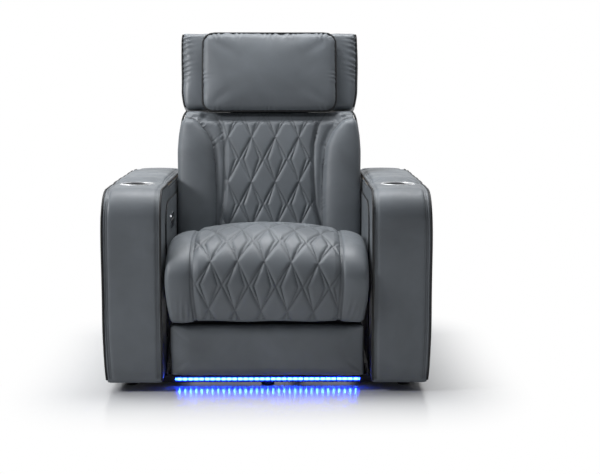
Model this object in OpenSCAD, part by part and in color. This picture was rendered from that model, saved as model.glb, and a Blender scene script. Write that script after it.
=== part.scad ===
// Cinema recliner seat: two storage arms, a sliding seat carriage, a reclining back,
// a tilting headrest and a footrest on a parallel-link linkage.
// The seat faces -Y and stands on z = 0, with the origin under the middle of its outer box.

/* [Body] */
// Clear width between the two arms
seat_gap_w = 612; // [570:2:660]
// Width of one arm
arm_w = 174; // [160:2:196]
// Length of one arm
arm_len = 880; // [840:5:940]
// Height of the arm top above the floor
arm_top_h = 593; // [575:1:630]
// Height of the arm's lower edge above the floor
arm_lift = 36; // [32:1:42]
// Radius of the arm's front top corner
arm_nose_r = 90; // [70:1:100]
// Thickness of the padding over the arm carcass
arm_pad_t = 12; // [10:1:16]
// Plywood thickness of the arm carcass
ply_t = 15; // [12:1:18]

/* [Seat] */
// Height of the seat crown above the floor
seat_h = 478; // [465:1:495]
// Distance from the arm front to the back cushion
seat_depth = 500; // [480:5:530]
// How far the seat cushion stands ahead of the arms
seat_overhang = 15; // [8:1:22]
// Gap between the seat cushion and each arm
side_gap = 9; // [8:1:12]
// Height of the cushion's lower front edge
seat_drop_z = 206; // [204:1:214]
// Width of the quilted panel of the seat
seat_quilt_w = 436; // [400:2:460]
// Width of one quilting diamond
diamond_w = 78; // [70:1:90]
// Height of one quilting diamond
diamond_h = 150; // [130:1:170]
// Height by which a diamond puffs up
puff_h = 6; // [4:0.5:8]

/* [Back] */
// Lean of the back at rest, in degrees
back_lean = 14; // [12:0.5:17]
// Distance of the back pivot below the seat crown
back_pivot_drop = 178; // [170:1:186]
// Length from the back pivot to the headrest's lower edge
back_len = 492; // [470:1:520]
// Height of the headrest
headrest_h = 288; // [260:1:300]
// Width of the back cushion
back_w = 600; // [580:2:604]
// Width of the headrest
headrest_w = 588; // [560:2:600]
// Width of the headrest pillow
pillow_w = 442; // [420:2:460]
// Height of the headrest pillow
pillow_h = 268; // [240:1:276]

/* [Footrest] */
// Length of a footrest link between its pivots
link_len = 230; // [226:1:234]
// Height of the footrest pad
pad_h = 152; // [140:1:154]
// Width of the footrest pad
pad_w = 564; // [540:2:570]
// Thickness of the link steel
link_t = 5; // [4:0.5:5]

/* [Base] */
// Height of the beams' underside above the floor
glide_h = 8; // [6:0.5:9]
// Height of the cross beams
beam_h = 20; // [18:0.5:20]
// Depth of the cross beams
beam_d = 30; // [26:1:36]
// Distance of the light strip behind the arm front
led_set_back = 88; // [80:1:100]
// Spacing of the light chips
led_pitch = 16.7; // [12:0.1:25]

/* [Cup holder] */
// Radius of the cup holder's mouth
cup_r = 45; // [42:0.5:46]
// Depth of the cup holder
cup_depth = 72; // [60:1:85]
// Wall of the cup holder
cup_wall = 1.2; // [1:0.1:2]
// Distance of the cup centre behind the arm front
cup_back = 195; // [180:1:205]

/* [Storage] */
// Distance of the lid's front edge behind the arm front
lid_front = 270; // [268:1:290]
// Distance of the lid's rear edge ahead of the arm's rear end
lid_rear = 80; // [60:5:130]
// Height of the lid's crown above the arm top
lid_rise = 12; // [8:1:16]
// Depth of the storage bin
bin_depth = 150; // [100:5:200]

/* [Controls] */
// Length of the control panel
control_l = 120; // [112:1:130]
// Height of the control panel
control_h = 44; // [40:1:48]
// Radius of a push button
button_r = 6.5; // [5:0.5:7]
// Travel of a push button
button_travel = 1.5; // [1:0.1:2]

/* [Hidden] */
$fn = 48;

leather = [0.36, 0.40, 0.45];
leather_dark = [0.27, 0.30, 0.34];
steel = [0.55, 0.56, 0.58];
black = [0.10, 0.10, 0.11];
wood = [0.72, 0.58, 0.40];
stainless = [0.80, 0.81, 0.82];
white = [0.85, 0.86, 0.88];
blue = [0.10, 0.25, 1.00];

// Thickness of the panel on the inner face of each arm
panel_t = 4;
// Clearances and the overrun of every cut
soft_gap = 0.3;
run_gap = 0.05;
open_gap = 0.3;
over = 1;

// Main places
inner_x = seat_gap_w / 2;
outer_x = inner_x + arm_w;
arm_mid_x = inner_x + arm_w / 2;
front_y = -(arm_len - seat_overhang - puff_h) / 2;
rear_y = front_y + arm_len;
beam_top_z = glide_h + beam_h;
cushion_half_w = inner_x - side_gap;

// Seat cushion section
seat_crown_back = 200;
seat_rear_drop = 48;
seat_roll_z = 330;
seat_thick = 132;
seat_under_z = seat_h - seat_thick;
front_drop_t = 70;
draw_in = 16;
rear_gap = 3;
seam_dip = 5;

// Seat frame and carriage
webbing_t = 1.5;
frame_gap = webbing_t + soft_gap;
seat_frame_t = 24;
seat_frame_top = seat_under_z - frame_gap;
seat_frame_z = seat_frame_top - seat_frame_t;
seat_frame_rail = 45;
seat_frame_lap = 4;
seat_frame_front = front_drop_t - seat_frame_lap;
seat_frame_tail = 50;
seat_frame_rear = seat_depth + seat_frame_tail;
seat_frame_half_w = cushion_half_w - side_gap;
plate_t = 3;
channel_t = 3;
channel_h = 36;
channel_w = 24;
channel_x = inner_x - panel_t - over - channel_w;
plate_gap = 2;
plate_x = channel_x - plate_gap - plate_t;
channel_front = 100;
channel_rear = 780;
flange_w = 24;
block_l = 40;
block_front = 262;
block_rear = 560;
cross_tube_r = 11;
cross_tube_wall = 2;
mid_tube = [330, 84];
rear_tube = [560, 122];

// Footrest linkage, as [distance behind the arm front, height]
link_gap = 2;
pin_r = 5;
shaft_r = 8;
link_w = 20;
head_t = 1.3;
head_r = 8;
front_pivot_drop = 22.2;
front_pivot = [158, seat_frame_z - front_pivot_drop];
pivot_step = [45, -18];
rear_pivot = front_pivot + pivot_step;
stow_angle = 278;
elbow_share = 0.6;
elbow_belly = 78;
board_pivot_drop = 12;
pad_low_z = 46;
board_pivot = [60, pad_low_z + pad_h - board_pivot_drop];
crank_r = 28;
crank_angle = 262.8;
link_gap_x = plate_x - link_gap;
front_link_x = link_gap_x - link_t;
knuckle_x = front_link_x - link_gap - link_t;
rear_link_x = knuckle_x - link_gap - link_t;
function polar(p, r, a) = [p[0] + r * cos(a), p[1] + r * sin(a)];
function elbow(p) = polar(polar(p, link_len * elbow_share, stow_angle), elbow_belly, stow_angle + 90);
front_foot = polar(front_pivot, link_len, stow_angle);
rear_foot = front_foot + pivot_step;
crank_pin = polar(front_foot, crank_r, crank_angle);
board_crank = polar(board_pivot, crank_r, crank_angle);
board_t = 15;
board_pad_t = 32;
board_front = 35;
board_margin = 6;

// Back, in its own leaning frame: y behind, z up along the lean, from the pivot
pivot_behind = 90;
back_pivot_z = seat_h - back_pivot_drop;
back_pivot = [seat_depth + pivot_behind, back_pivot_z];
back_pin_r = 8;
bracket_t = 4;
bracket_gap = 1.3;
bracket_len = 210;
bracket_half = 18;
upright_w = 24;
upright_x = plate_x - bracket_gap - bracket_t - upright_w;
back_frame_front = -30;
back_frame_t = 45;
back_frame_low = 30;
cushion_front = -102;
cushion_low = 60;
cushion_top_gap = 6;
back_cushion_top = back_len - cushion_top_gap;
shell_low = -20;
shell_t_low = 95;
shell_t_top = 55;
shell_gap = 0.5;

// Headrest, in the back's frame
head_pivot_rise = 8;
head_pivot = [-60, back_len + head_pivot_rise];
head_rear = 36;
head_front = -96;
pillow_front = -126;
pillow_t = 62;
head_plate_t = 14;
head_plate_y = -14;

// Arm parts
frame_inset = arm_pad_t + soft_gap;
lid_bed_drop = 18;
lid_seat_z = arm_top_h - lid_bed_drop;
lid_len = arm_len - lid_front - lid_rear;
bin_wall = 3;
lid_board_t = 10;
lid_gap = 1;
lid_edge_share = 0.62;
hinge_set_in = 5;
hinge_r = 2.5;
hinge_pin_r = 1.2;
leaf_t = 1.1;
leaf_w = 8;
hinge_x = outer_x - hinge_set_in;
lid_low_z = lid_seat_z + bin_wall + soft_gap;
hinge_z = lid_seat_z + (bin_wall + soft_gap) / 2;
knuckles = 7;
hinge_margin = 15;
arm_crown = 4;
arm_edge_r = 12;
frame_low_z = beam_top_z;
bin_side = frame_inset + ply_t + soft_gap;
bin_set_in = 24;
bin_front = lid_front + bin_set_in;
bin_len = lid_len - 2 * bin_set_in;
bin_lip = 8;
cup_flange_r = 53;
cup_flange_t = 1.5;
cup_lip_h = 4;
cup_lip_r = 48.5;
cup_gap = 0.5;
cup_rise = 1;
cup_seat_z = arm_top_h + cup_rise;
tab_w = 12;
tab_l = 14;
tab_t = 1.5;
panel_front = 60;
panel_rear_margin = 50;
panel_low = 52;
panel_spring = 430;
panel_rise = 70;

// Control panel
control_back = 330;
control_z = 472;
bezel_t = 3;
bezel_rim = 3;
control_depth = 16;
button_pitch = 18;
button_first = -42;
button_gap = 0.3;
button_proud = 1.2;
button_len = 8;
usb_shift = 45;
usb_w = 13;
usb_h = 6;
usb_wall = 1.2;

// Draws a copy on each side of the middle plane
module pair() {
    children();
    mirror([1, 0, 0]) children();
}

// Extrudes a [y, z] outline along X, from x0 over the length l
module along_x(x0, l) translate([x0, 0, 0]) rotate([90, 0, 90]) linear_extrude(l) children();

// A cylinder along X about a [distance behind the arm front, height] point
module rod_x(p, x0, l, r) translate([x0, front_y + p[0], p[1]]) rotate([0, 90, 0]) cylinder(h = l, r = r);

// A flat bar outline between two round eyes of width w, with a slimmer waist
bar_waist_share = 0.86;
module bar_2d(p, q, w) {
    d = q - p;
    waist = w * bar_waist_share;
    for (e = [p, q]) translate(e) circle(r = w / 2);
    translate(p) rotate(atan2(d[1], d[0])) translate([0, -waist / 2]) square([norm(d), waist]);
}

// Places a child given in the back's leaning frame
module in_back() translate([0, front_y + back_pivot[0], back_pivot[1]]) rotate([-back_lean, 0, 0]) children();

// Triangles between ring a and ring b, each of m points
function band(a, b, m) = [
    for (j = [0:m - 1]) each [[a + j, b + (j + 1) % m, b + j], [a + j, a + (j + 1) % m, b + (j + 1) % m]]
];
function mean(ring) = [for (k = [0:2]) [for (p = ring) p[k]] * [for (p = ring) 1] / len(ring)];

// A closed skin over rings that run along X, with a fan of triangles over each end
module skin(rings) {
    n = len(rings);
    m = len(rings[0]);
    points = concat([for (r = rings) each r], [mean(rings[0]), mean(rings[n - 1])]);
    sides = [for (i = [0:n - 2]) each band(i * m, (i + 1) * m, m)];
    start = [for (j = [0:m - 1]) [n * m, (j + 1) % m, j]];
    end = [for (j = [0:m - 1]) [n * m + 1, (n - 1) * m + j, (n - 1) * m + (j + 1) % m]];
    polyhedron(points, concat(sides, start, end));
}

// Signed power, used for rounded outlines
function spow(v, e) = sign(v) * pow(abs(v), e);

// A crowned pad: half sizes a along X, b along Z, c along Y; plan and edge are corner powers
function puff_rings(a, b, c, plan, edge, n, m) = [
    for (i = [0:n])
        let (
            u = -cos(180 * i / n) * puff_end_share,
            k = pow(1 - pow(abs(u), plan), 1 / plan),
            t = pow(1 - pow(abs(u), plan), 1 / 2.2)
        )
        [for (j = [0:m - 1]) let (w = full_turn * j / m)
            [a * u, c * t * spow(sin(w), 2 / edge), b * k * spow(cos(w), 2 / edge)]]
];
puff_end_share = 0.995;
full_turn = 360;

// Base

// Two steel box beams that carry the arms and the channels
beam_wall = 2;
beam_end_margin = 40;
module beam(y) difference() {
    translate([-outer_x + beam_end_margin, front_y + y, glide_h])
        cube([2 * (outer_x - beam_end_margin), beam_d, beam_h]);
    translate([-outer_x, front_y + y + beam_wall, glide_h + beam_wall])
        cube([2 * outer_x, beam_d - 2 * beam_wall, beam_h - 2 * beam_wall]);
}
led_rail_t = 7;
front_beam = led_set_back + led_rail_t;
rear_beam = channel_rear - beam_d;
module base_beams() color(black) {
    beam(front_beam);
    beam(rear_beam);
}

// C channels that guide the carriage's slide blocks
module channel_2d() difference() {
    square([channel_w, channel_h]);
    translate([-over, channel_t]) square([channel_w - channel_t + over, channel_h - 2 * channel_t]);
}
module base_channels() color(steel) pair()
    translate([channel_x, front_y + channel_rear, beam_top_z]) rotate([90, 0, 0])
        linear_extrude(channel_rear - channel_front) channel_2d();

glide_r = 20;
glide_inset = 70;
module floor_glides() color(black)
    for (y = [front_beam, rear_beam] + [beam_d, beam_d] / 2, x = [-1, 0, 1])
        translate([x * (outer_x - glide_inset), front_y + y, 0])
            rotate_extrude() polygon([[0, 0], [glide_r - glide_round, 0], [glide_r, glide_round],
                [glide_r, glide_h], [0, glide_h]]);
glide_round = 2;

// Light strip: a black rail on the front beam, a glowing tape with chips, and end clips
led_end_margin = 22;
led_half_w = inner_x - led_end_margin;
led_rail_wall = 1.5;
tape_t = 1.5;
chip_w = 5;
chip_t = 1;
led_floor_z = glide_h + 2;
led_rail_h = 17;
module led_rail() color(black) difference() {
    translate([-led_half_w, front_y + led_set_back, led_floor_z])
        cube([2 * led_half_w, led_rail_t, led_rail_h]);
    translate([-led_half_w - over, front_y + led_set_back - over, led_floor_z + led_rail_wall])
        cube([2 * (led_half_w + over), led_rail_t - led_rail_wall + over, led_rail_h - 2 * led_rail_wall]);
}
led_back_y = front_y + led_set_back + led_rail_t - led_rail_wall;
led_mid_z = led_floor_z + led_rail_h / 2;
tape_gap = 1;
tape_h = led_rail_h - 2 * led_rail_wall - 2 * tape_gap;
clip_w = 8;
module led_strip() color(blue) {
    translate([-led_half_w + clip_w, led_back_y - tape_t, led_mid_z - tape_h / 2])
        cube([2 * (led_half_w - clip_w), tape_t, tape_h]);
    chips = floor((led_half_w - clip_w - chip_w) / led_pitch);
    for (i = [-chips:chips]) translate([i * led_pitch - chip_w / 2, led_back_y - tape_t - chip_t, led_mid_z - chip_w / 2])
        cube([chip_w, chip_t, chip_w]);
}
module led_end_clips() color(black) pair() difference() {
    translate([led_half_w - clip_w + tape_gap, front_y + led_set_back - clip_proud, led_floor_z - tape_gap])
        cube([clip_w, led_rail_t + clip_proud, led_rail_h + 2 * tape_gap]);
    translate([led_half_w - clip_w, front_y + led_set_back, led_floor_z])
        cube([clip_w, led_rail_t + over, led_rail_h]);
}
clip_proud = 1.5;

// Power supply with its inlet, on the rear beam
power_w = 160;
power_h = 42;
power_x = -230;
inlet_w = 22;
inlet_h = 16;
inlet_d = 12;
module power_box() color(black) difference() {
    translate([power_x, front_y + rear_beam - beam_d, beam_top_z]) cube([power_w, 2 * beam_d, power_h]);
    translate([power_x + inlet_w, front_y + rear_beam + beam_d - inlet_d, beam_top_z + inlet_w / 2])
        cube([inlet_w, inlet_d + over, inlet_h]);
}

// Screw actuator: a motor block and a hollow tube, fixed to the rear beam
actuator_x = 90;
actuator_z = mid_tube[1];
actuator_r = 17;
actuator_bore = 10;
actuator_front = 450;
motor_l = 70;
motor_w = 48;
motor_drop = 96;
rod_r = 9;
rod_len = 300;
foot_t = 6;
module recline_actuator() color(black) {
    difference() {
        union() {
            translate([actuator_x, front_y + rear_beam, actuator_z]) rotate([90, 0, 0])
                cylinder(h = rear_beam - actuator_front, r = actuator_r);
            translate([actuator_x - motor_w / 2, front_y + rear_beam - motor_l, actuator_z - motor_w / 2])
                cube([motor_w, motor_l, motor_w]);
            translate([actuator_x, front_y + rear_beam - motor_l / 2, actuator_z])
                rotate([0, 90, 0]) cylinder(h = motor_drop, r = motor_w / 2 - 2 * beam_wall);
        }
        translate([actuator_x, front_y + rear_beam - motor_l, actuator_z]) rotate([90, 0, 0])
            cylinder(h = rear_beam, r = actuator_bore);
    }
    translate([actuator_x - motor_w / 2, front_y + rear_beam, beam_top_z])
        cube([motor_w, foot_t, actuator_z + motor_w / 2 - beam_top_z]);
    translate([actuator_x - motor_w / 2, front_y + rear_beam, beam_top_z])
        cube([motor_w, beam_d, foot_t]);
}

// Arms

// The arm's side outline, drawn in by inset, down to low_z and up to top_z
module arm_side_2d(inset, low_z, top_z) {
    r = arm_nose_r - inset;
    nose = [front_y + arm_nose_r, top_z - r];
    translate(nose) circle(r = r);
    translate([front_y + inset, low_z]) square([arm_len - 2 * inset, nose[1] - low_z]);
    translate([nose[0], low_z]) square([rear_y - inset - nose[0], top_z - low_z]);
}

// Points round the padded arm, outset by the crown; the lid's bed lies lower than the arm top
arm_front_share = [0, 0.5, 1];
function arm_ring(x, out) =
    let (
        top = arm_top_h + out,
        nose = [front_y + arm_nose_r, arm_top_h - arm_nose_r],
        r = arm_nose_r + out,
        end = rear_y + min(out, 0),
        low = arm_lift - min(out, 0),
        front = [for (s = arm_front_share) [front_y - min(out, 0) - max(out, 0) * sin(180 * s), low + (nose[1] - low) * s]],
        arc = [for (i = [1:7]) [nose[0] - (arm_nose_r + min(out, 0)) * cos(90 * i / 8), nose[1] + r * sin(90 * i / 8)]],
        over_top = [for (s = [0, 0.25, 0.5, 0.75, 1]) [nose[0] + (end - arm_edge_r - nose[0]) * s, top]],
        back = [for (i = [1:3]) [end - arm_edge_r * (1 - sin(30 * i)), top - arm_edge_r * (1 - cos(30 * i))]],
        foot = [[end, low], [(front_y + end) / 2, low]]
    )
    [for (p = concat(front, arc, over_top, back, foot)) [x, p[0], p[1]]];
arm_edge_steps = 3;
function arm_stations() = concat(
    [for (i = [0:arm_edge_steps]) let (a = 90 * i / arm_edge_steps)
        [inner_x + arm_edge_r * (1 - cos(a)), -arm_edge_r * (1 - sin(a))]],
    [for (s = [0.25, 0.5, 0.75]) [inner_x + arm_w * s, arm_crown * sin(180 * s)]],
    [for (i = [arm_edge_steps:-1:0]) let (a = 90 * i / arm_edge_steps)
        [outer_x - arm_edge_r * (1 - cos(a)), -arm_edge_r * (1 - sin(a))]]
);
cup_y = front_y + cup_back;
// Joints soft_gap wide that part the two sides, the front, the nose, the top and the rear of a
// box-like skin of thickness t, which is set in by inset and whose top is at top_z
module panel_joints(inset, t, low_z, top_z) {
    wide = arm_w - 2 * (inset + t);
    nose_z = top_z - arm_nose_r + inset;
    for (x = [inner_x + inset + t, outer_x - inset - t - soft_gap])
        translate([x, front_y - arm_len, 0]) cube([soft_gap, 3 * arm_len, 2 * arm_top_h]);
    translate([inner_x + inset + t, front_y - over, nose_z]) cube([wide, arm_nose_r + over, soft_gap]);
    translate([inner_x + inset + t, front_y + arm_nose_r, nose_z]) cube([wide, soft_gap, arm_nose_r + arm_crown + inset]);
    translate([inner_x + inset + t, rear_y - inset - t - soft_gap, top_z - 2 * t])
        cube([wide, soft_gap, 2 * t + arm_crown + inset]);
    if (low_z > 0) translate([inner_x + inset + t, front_y, low_z]) cube([wide, arm_len, soft_gap]);
}
module arm_cover() difference() {
    skin([for (s = arm_stations()) arm_ring(s[0], s[1])]);
    panel_joints(0, arm_pad_t, 0, arm_top_h);
    along_x(inner_x + arm_pad_t, arm_w - 2 * arm_pad_t)
        arm_side_2d(arm_pad_t, arm_lift - over, lid_seat_z);
    translate([inner_x - over, front_y + lid_front, lid_seat_z])
        cube([arm_w + 2 * over, lid_len, arm_w]);
    translate([arm_mid_x, cup_y, lid_seat_z - over])
        cylinder(h = arm_w, r = cup_r + cup_wall + cup_gap);
    translate([hinge_x, front_y + lid_front, hinge_z]) rotate([-90, 0, 0])
        cylinder(h = lid_len, r = hinge_r + 2 * soft_gap);
    translate([arm_mid_x, cup_y, cup_seat_z]) cylinder(h = arm_w, r = cup_flange_r + cup_gap);
}
module arm_cover_right() color(leather) arm_cover();
module arm_cover_left() color(leather) difference() {
    mirror([1, 0, 0]) arm_cover();
    control_pocket();
}

// The plywood boards of the carcass inside an arm
module arm_frame() difference() {
    along_x(inner_x + frame_inset, arm_w - 2 * frame_inset)
        arm_side_2d(frame_inset, frame_low_z, lid_seat_z - soft_gap);
    along_x(inner_x + frame_inset + ply_t, arm_w - 2 * (frame_inset + ply_t))
        arm_side_2d(frame_inset + ply_t, frame_low_z + ply_t, lid_seat_z - soft_gap - ply_t);
    panel_joints(frame_inset, ply_t, frame_low_z + ply_t, lid_seat_z - soft_gap);
    translate([inner_x + bin_side - soft_gap, front_y + bin_front - soft_gap, lid_seat_z - 2 * ply_t])
        cube([arm_w - 2 * (bin_side - soft_gap), bin_len + 2 * soft_gap, arm_w]);
    translate([arm_mid_x, cup_y, lid_seat_z - 2 * ply_t])
        cylinder(h = arm_w, r = cup_r + cup_wall + cup_gap);
}
module arm_frame_right() color(wood) arm_frame();
module arm_frame_left() color(wood) mirror([1, 0, 0]) arm_frame();

// The arch-topped panel on the inner face of an arm
module arm_inner_panel() {
    y0 = front_y + panel_front;
    y1 = rear_y - panel_rear_margin;
    r = panel_rise;
    along_x(inner_x - panel_t, panel_t - soft_gap) {
        translate([y0, panel_low]) square([y1 - y0, panel_spring - panel_low]);
        translate([y0 + r, panel_low]) square([y1 - y0 - 2 * r, panel_spring + r - panel_low]);
        for (y = [y0 + r, y1 - r]) translate([y, panel_spring]) circle(r = r);
    }
}
module arm_inner_panel_right() color(leather_dark) arm_inner_panel();
module arm_inner_panel_left() color(leather_dark) difference() {
    mirror([1, 0, 0]) arm_inner_panel();
    control_pocket();
}

// Storage bin that hangs by its lip on the lid's bed
module storage_bin() difference() {
    union() {
        translate([inner_x + bin_side, front_y + bin_front, lid_seat_z - bin_depth])
            cube([arm_w - 2 * bin_side, bin_len, bin_depth]);
        translate([inner_x + bin_side - bin_lip, front_y + bin_front - bin_lip, lid_seat_z])
            cube([arm_w - 2 * (bin_side - bin_lip), bin_len + 2 * bin_lip, bin_wall]);
    }
    translate([inner_x + bin_side + bin_wall, front_y + bin_front + bin_wall, lid_seat_z - bin_depth + bin_wall])
        cube([arm_w - 2 * (bin_side + bin_wall), bin_len - 2 * bin_wall, bin_depth + over]);
}
module storage_bin_right() color(black) storage_bin();
module storage_bin_left() color(black) mirror([1, 0, 0]) storage_bin();

// Turned steel cup with a flange and a rolled lip
module cup_holder() translate([arm_mid_x, cup_y, cup_seat_z]) rotate_extrude($fn = 96) polygon([
    [0, -cup_depth], [cup_r + cup_wall, -cup_depth], [cup_r + cup_wall, 0],
    [cup_flange_r, 0], [cup_flange_r, cup_flange_t], [cup_lip_r + cup_flange_t, cup_flange_t],
    [cup_lip_r, cup_lip_h], [cup_r + cup_wall / 2, cup_lip_h], [cup_r, cup_flange_t],
    [cup_r, cup_wall - cup_depth], [0, cup_wall - cup_depth]
]);
module cup_holder_right() color(stainless) cup_holder();
module cup_holder_left() color(stainless) mirror([1, 0, 0]) cup_holder();

// Touch switch for the cup light, on the flange's front right
tab_turn = -50;
module touch_tab(x) translate([x, cup_y, cup_seat_z + cup_flange_t]) rotate([0, 0, tab_turn])
    translate([cup_lip_r + cup_flange_t, 0, 0]) intersection() {
        translate([0, -tab_l / 2, 0]) cube([cup_flange_r - cup_lip_r - cup_flange_t, tab_l, tab_t]);
        cylinder(h = tab_t, r = tab_w);
    }
module touch_tab_right() color(black) touch_tab(arm_mid_x);
module touch_tab_left() color(black) touch_tab(-arm_mid_x);

// Lids

// Padded lid: rings of [x, z] points along Y, crowned, with a rounded upper edge
lid_in_x = inner_x + lid_gap;
lid_h = arm_top_h + lid_rise - lid_low_z;
lid_foot_x = hinge_x - hinge_r - lid_gap;
function lid_ring(y, k) =
    let (h = lid_h * k, w = outer_x - lid_gap - lid_in_x, r = lid_h / 4)
    [for (p = [
        [lid_in_x, 0], [lid_foot_x, 0], [lid_foot_x, lid_h / 4], [outer_x - lid_gap, lid_h / 3],
        [outer_x - lid_gap, h * 0.7], [outer_x - lid_gap - r / 2, h * 0.88],
        [lid_in_x + w * 0.75, h * 0.97], [lid_in_x + w / 2, h], [lid_in_x + w / 4, h * 0.97],
        [lid_in_x + r / 2, h * 0.88], [lid_in_x, h * 0.7]
    ]) [p[0], y, lid_low_z + p[1]]];
lid_step_shares = [[0, 0], [0.004, 0.55], [0.02, 0.88], [0.06, 1], [0.5, 1], [0.94, 1], [0.98, 0.88], [0.996, 0.55], [1, 0]];
module lid_pad() difference() {
    skin([for (s = lid_step_shares)
        lid_ring(front_y + lid_front + lid_gap + (lid_len - 2 * lid_gap) * s[0],
            lid_edge_share + (1 - lid_edge_share) * s[1])]);
    lid_board();
}
module lid_board() translate([lid_in_x + lid_gap, front_y + lid_front + 2 * lid_gap, lid_low_z])
    cube([lid_foot_x - lid_in_x - 2 * lid_gap, lid_len - 4 * lid_gap, lid_board_t]);
module lid_pad_right() color(leather) lid_pad();
module lid_pad_left() color(leather) mirror([1, 0, 0]) lid_pad();
module lid_board_right() color(wood) lid_board();
module lid_board_left() color(wood) mirror([1, 0, 0]) lid_board();

// Piano hinge: knuckles first, first + 2, ... of one leaf, along the hinge axis
module hinge_half(first, leaf_z, bore) {
    step = (lid_len - 2 * hinge_margin) / knuckles;
    start = front_y + lid_front + hinge_margin;
    for (i = [first:2:knuckles - 1]) difference() {
        union() {
            translate([hinge_x, start + step * i + soft_gap, hinge_z]) rotate([-90, 0, 0])
                cylinder(h = step - 2 * soft_gap, r = hinge_r);
            translate([hinge_x - hinge_r - leaf_w, start + step * i + soft_gap, leaf_z])
                cube([hinge_r + leaf_w, step - 2 * soft_gap, leaf_t]);
        }
        translate([hinge_x, start, hinge_z]) rotate([-90, 0, 0]) cylinder(h = lid_len, r = bore);
    }
}
module lid_hinge() {
    hinge_half(0, lid_seat_z, hinge_pin_r);
    translate([hinge_x, front_y + lid_front + hinge_margin + soft_gap, hinge_z]) rotate([-90, 0, 0])
        cylinder(h = lid_len - 2 * (hinge_margin + soft_gap), r = hinge_pin_r);
    translate([hinge_x - hinge_r - leaf_w, front_y + lid_front + hinge_margin + soft_gap, lid_seat_z])
        cube([leaf_w - soft_gap, lid_len - 2 * (hinge_margin + soft_gap), leaf_t]);
}
module lid_leaf() {
    hinge_half(1, lid_low_z - leaf_t, hinge_pin_r + run_gap);
    translate([hinge_x - hinge_r - leaf_w, front_y + lid_front + hinge_margin + soft_gap, lid_low_z - leaf_t])
        cube([leaf_w - soft_gap, lid_len - 2 * (hinge_margin + soft_gap), leaf_t]);
}
module lid_hinge_right() color(steel) lid_hinge();
module lid_hinge_left() color(steel) mirror([1, 0, 0]) lid_hinge();
module lid_leaf_right() color(steel) lid_leaf();
module lid_leaf_left() color(steel) mirror([1, 0, 0]) lid_leaf();

// Control panel, on the inner face of the left arm, facing +X

// A stadium outline of length l and height h
module stadium_2d(l, h) {
    square([l - h, h], center = true);
    for (e = [-1, 1]) translate([e * (l - h) / 2, 0]) circle(r = h / 2);
}
control_face = -(inner_x - panel_t);
module at_control(x) translate([x, front_y + control_back, control_z]) rotate([90, 0, 90]) children();
pocket_inset = 5;
module control_pocket() at_control(control_face - panel_t - arm_pad_t)
    linear_extrude(panel_t + arm_pad_t + over)
        stadium_2d(control_l - 2 * pocket_inset, control_h - 2 * pocket_inset);
function button_at(i) = button_first + button_pitch * i;
module control_bezel() color(stainless) difference() {
    union() {
        at_control(control_face + soft_gap) linear_extrude(bezel_t - soft_gap) stadium_2d(control_l, control_h);
        at_control(control_face - panel_t - arm_pad_t + soft_gap)
            linear_extrude(panel_t + arm_pad_t)
                stadium_2d(control_l - 2 * (pocket_inset + soft_gap), control_h - 2 * (pocket_inset + soft_gap));
    }
    for (i = [0:4]) at_control(control_face + bezel_t - button_len - 2 * button_travel)
        translate([button_at(i), 0, 0]) cylinder(h = bezel_t + button_len + arm_pad_t, r = button_r + button_gap);
    at_control(control_face + bezel_t - button_len)
        translate([usb_shift - usb_w / 2, -usb_h / 2, 0]) cube([usb_w, usb_h, bezel_t + button_len]);
}
module button(i) color(black) at_control(control_face + bezel_t + button_proud - button_len)
    translate([button_at(i), 0, 0]) cylinder(h = button_len, r = button_r);
module button_recline() button(0);
module button_upright() button(1);
module button_home() button(2);
module button_head_forward() button(3);
module button_head_back() button(4);
module usb_port() color(steel) difference() {
    at_control(control_face + bezel_t - button_len)
        translate([usb_shift - usb_w / 2, -usb_h / 2, 0]) cube([usb_w, usb_h, button_len]);
    at_control(control_face + bezel_t - button_len + usb_wall)
        translate([usb_shift - usb_w / 2 + usb_wall, -usb_h / 2 + usb_wall, 0])
            cube([usb_w - 2 * usb_wall, usb_h - 2 * usb_wall, button_len]);
}

// Seat carriage

// Side plates with a top flange, the rear links' pins and the back's pivot pins
plate_low = beam_top_z + channel_t + soft_gap;
plate_front = 112;
plate_neck = 84;
plate_leg = 140;
plate_nose_h = 40.2;
plate_throat_h = 84.2;
plate_ankle_z = 70;
plate_waist_z = 200;
plate_cheek = 22;
plate_heel = back_pivot[0] + plate_cheek / 2 + over;
plate_outline = [
    [plate_front, seat_frame_z], [plate_front, seat_frame_z - plate_nose_h],
    [plate_front + plate_neck, seat_frame_z - plate_throat_h], [plate_front + plate_leg, plate_ankle_z],
    [plate_front + plate_leg, plate_low], [plate_heel, plate_low], [plate_heel, plate_waist_z],
    [back_pivot[0] + plate_cheek, seat_frame_z - plate_nose_h], [back_pivot[0] + plate_cheek, seat_frame_z]
];
module carriage_plates() color(steel) pair() {
    difference() {
        along_x(plate_x, plate_t) translate([front_y, 0]) polygon(plate_outline);
        rod_x(front_pivot, plate_x - over, plate_t + 2 * over, shaft_r + run_gap);
    }
    translate([plate_x + plate_t - flange_w, front_y + plate_front, seat_frame_z - plate_t])
        cube([flange_w - plate_t, seat_frame_rear - plate_front, plate_t]);
    rod_x(rear_pivot, rear_link_x - soft_gap, plate_x - rear_link_x + soft_gap, pin_r);
    rod_x(rear_pivot, rear_link_x + link_t + soft_gap, plate_x - rear_link_x - link_t - soft_gap, head_r);
    rod_x(rear_pivot, rear_link_x - soft_gap - head_t, head_t, head_r);
    rod_x(back_pivot, upright_x + upright_w - soft_gap, plate_x - upright_x - upright_w + soft_gap, back_pin_r);
    rod_x(back_pivot, upright_x + upright_w - soft_gap - head_t, head_t, back_pin_r + head_r / 2);
}
module carriage_tubes() color(steel) for (t = [mid_tube, rear_tube]) difference() {
    rod_x(t, -plate_x, 2 * plate_x, cross_tube_r);
    rod_x(t, -plate_x - over, 2 * (plate_x + over), cross_tube_r - cross_tube_wall);
}
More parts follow.
